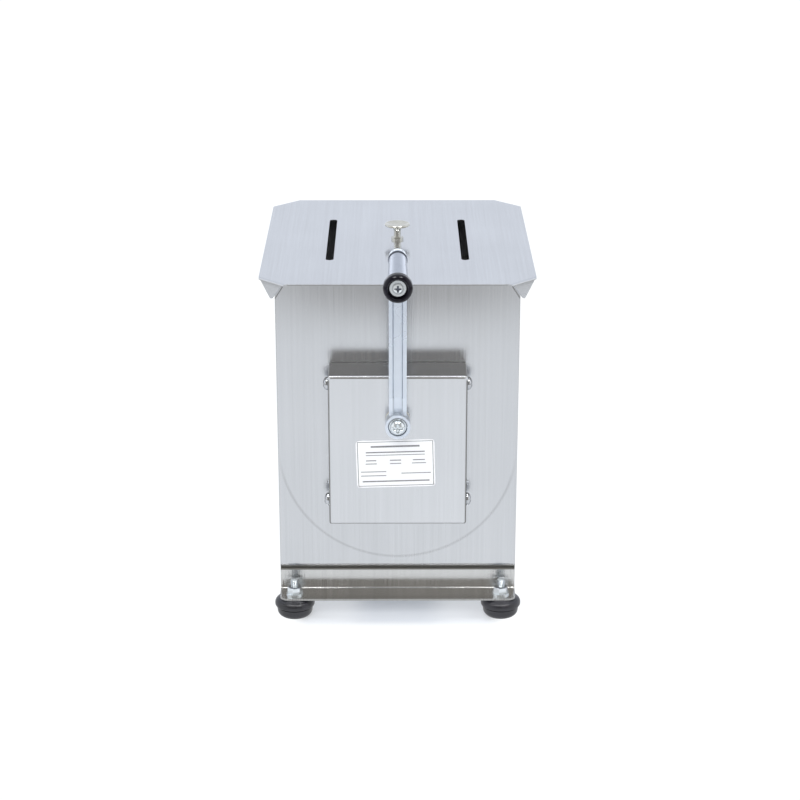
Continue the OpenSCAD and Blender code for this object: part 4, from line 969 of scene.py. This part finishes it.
# %% The table's card
FAR_LEVEL, NEAR_GLOW, SIDE_GLOW, GLOSS_GLOW, SEEN_LEVEL = 0.4, 0.13, 0.25, 0.85, 1.08
FOOT_HALF, FOOT_MID, FOOT_DEEP, SHADOW_W = 0.09, 0.063, 0.172, 0.02
CARD_MATT, CARD_NEAR, CARD_FAR = (0.87, 0.92, 1.0, 1.0), (0.97, 0.985, 1.0, 1.0), (1.0, 0.965, 0.91, 1.0)
floor_card = bpy.data.materials.new("floor_card")
floor_card.use_nodes = True
card = Wire(floor_card.node_tree)
card_nodes = floor_card.node_tree.nodes
card_nodes.remove(card_nodes["Principled BSDF"])
from_camera, from_gloss = card.add("LightPath", out=("Is Camera Ray", "Is Glossy Ray"))
east, north = split(card, card.add("TexCoord", out="Object"), "XY")
past_foot = edge_distance(east, north - FOOT_MID, (FOOT_HALF, FOOT_DEEP), 0.0)
# Painted shadow outline: little glow in a box round the feet, more of it beside the middle, so the shadow is
# darkest between the feet.
near_glow = NEAR_GLOW + SIDE_GLOW * east.absolute().ramp(0.02, 0.06)
camera_glow = near_glow + (1 - near_glow) * past_foot.ramp(0.0, SHADOW_W)
far = length(east, north).ramp(1.2, 1.44)
dimming = 1 - far * (1 - FAR_LEVEL)
matt = card.add("BsdfDiffuse", None, {"Color": CARD_MATT})
tint = blend(card, far * (1 - from_camera), CARD_NEAR, CARD_FAR)
strength = from_camera * SEEN_LEVEL + (1 - from_camera) * dimming
glow = card.add("Emission", None, {"Color": tint, "Strength": strength})
share = from_camera * camera_glow + from_gloss * GLOSS_GLOW
surface = card.add("MixShader", None, {0: share, 1: matt, 2: glow})
card.feed(card_nodes["Material Output"].inputs["Surface"], surface)
floor_mesh.materials.append(floor_card)
print("floor ready")

# %% [markdown]
# Two large soft lamps, above and in front, light the matt pieces and the table. They could show in the
# sheet too, as hard white squares, so they are hidden from mirror rays: the world gives the sheet what it
# mirrors.

# %% Lamps
def soft_box(name, place, target, size, watts):
    """A square lamp at a place, turned to a target."""
    lamp = bpy.data.lights.new(name, "AREA")
    lamp.size, lamp.energy = size, watts
    holder = bpy.data.objects.new(name, lamp)
    bpy.context.scene.collection.objects.link(holder)
    away = np.array(place) - np.array(target)
    turn = math.atan2(away[0], -away[1])
    tilt = math.atan2(math.hypot(away[0], away[1]), away[2])
    holder.location = place
    holder.rotation_euler = (tilt, 0.0, turn)
    return holder


for lamp in (soft_box("top_box", (0.1, -0.05, 1.8), (0.0, 0.05, 0.2), size=0.9, watts=16.0),
             soft_box("front_box", (-0.35, -1.7, 1.35), (0.0, -0.1, 0.2), size=1.2, watts=20.0)):
    lamp.visible_glossy = False
    print(lamp.name, "at", list(lamp.location))

# %% [markdown]
# The photograph looks at the crank side from above, with a long lens. The camera could be set by eye, but
# the vanishing points of the lid's edges and the panel's edges give its tilt, its distance and its lens.

# %% Camera
PANEL_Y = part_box("gear_cover")[1][1]
LENS_PIXELS, FRAME_PIXELS, SENSOR = 2071.0, 800.0, 36.0
CAMERA_TILT, CAMERA_TURN = 20.0, -0.17
CAMERA_X, CAMERA_AHEAD, CAMERA_Z = -0.0034, 1.936, 0.9334
view = bpy.data.cameras.new("camera")
view.sensor_width = SENSOR
view.lens = LENS_PIXELS / FRAME_PIXELS * SENSOR
camera = bpy.data.objects.new("camera", view)
bpy.context.scene.collection.objects.link(camera)
camera.location = (CAMERA_X, PANEL_Y - CAMERA_AHEAD, CAMERA_Z)
camera.rotation_euler = (math.radians(90 - CAMERA_TILT), 0.0, math.radians(CAMERA_TURN))
bpy.context.scene.camera = camera
bpy.context.scene.view_settings.view_transform = "Standard"
print("camera at", list(camera.location))

# %% [markdown]
# Last, a line is printed to mark the end.

# %% The end
print("done")
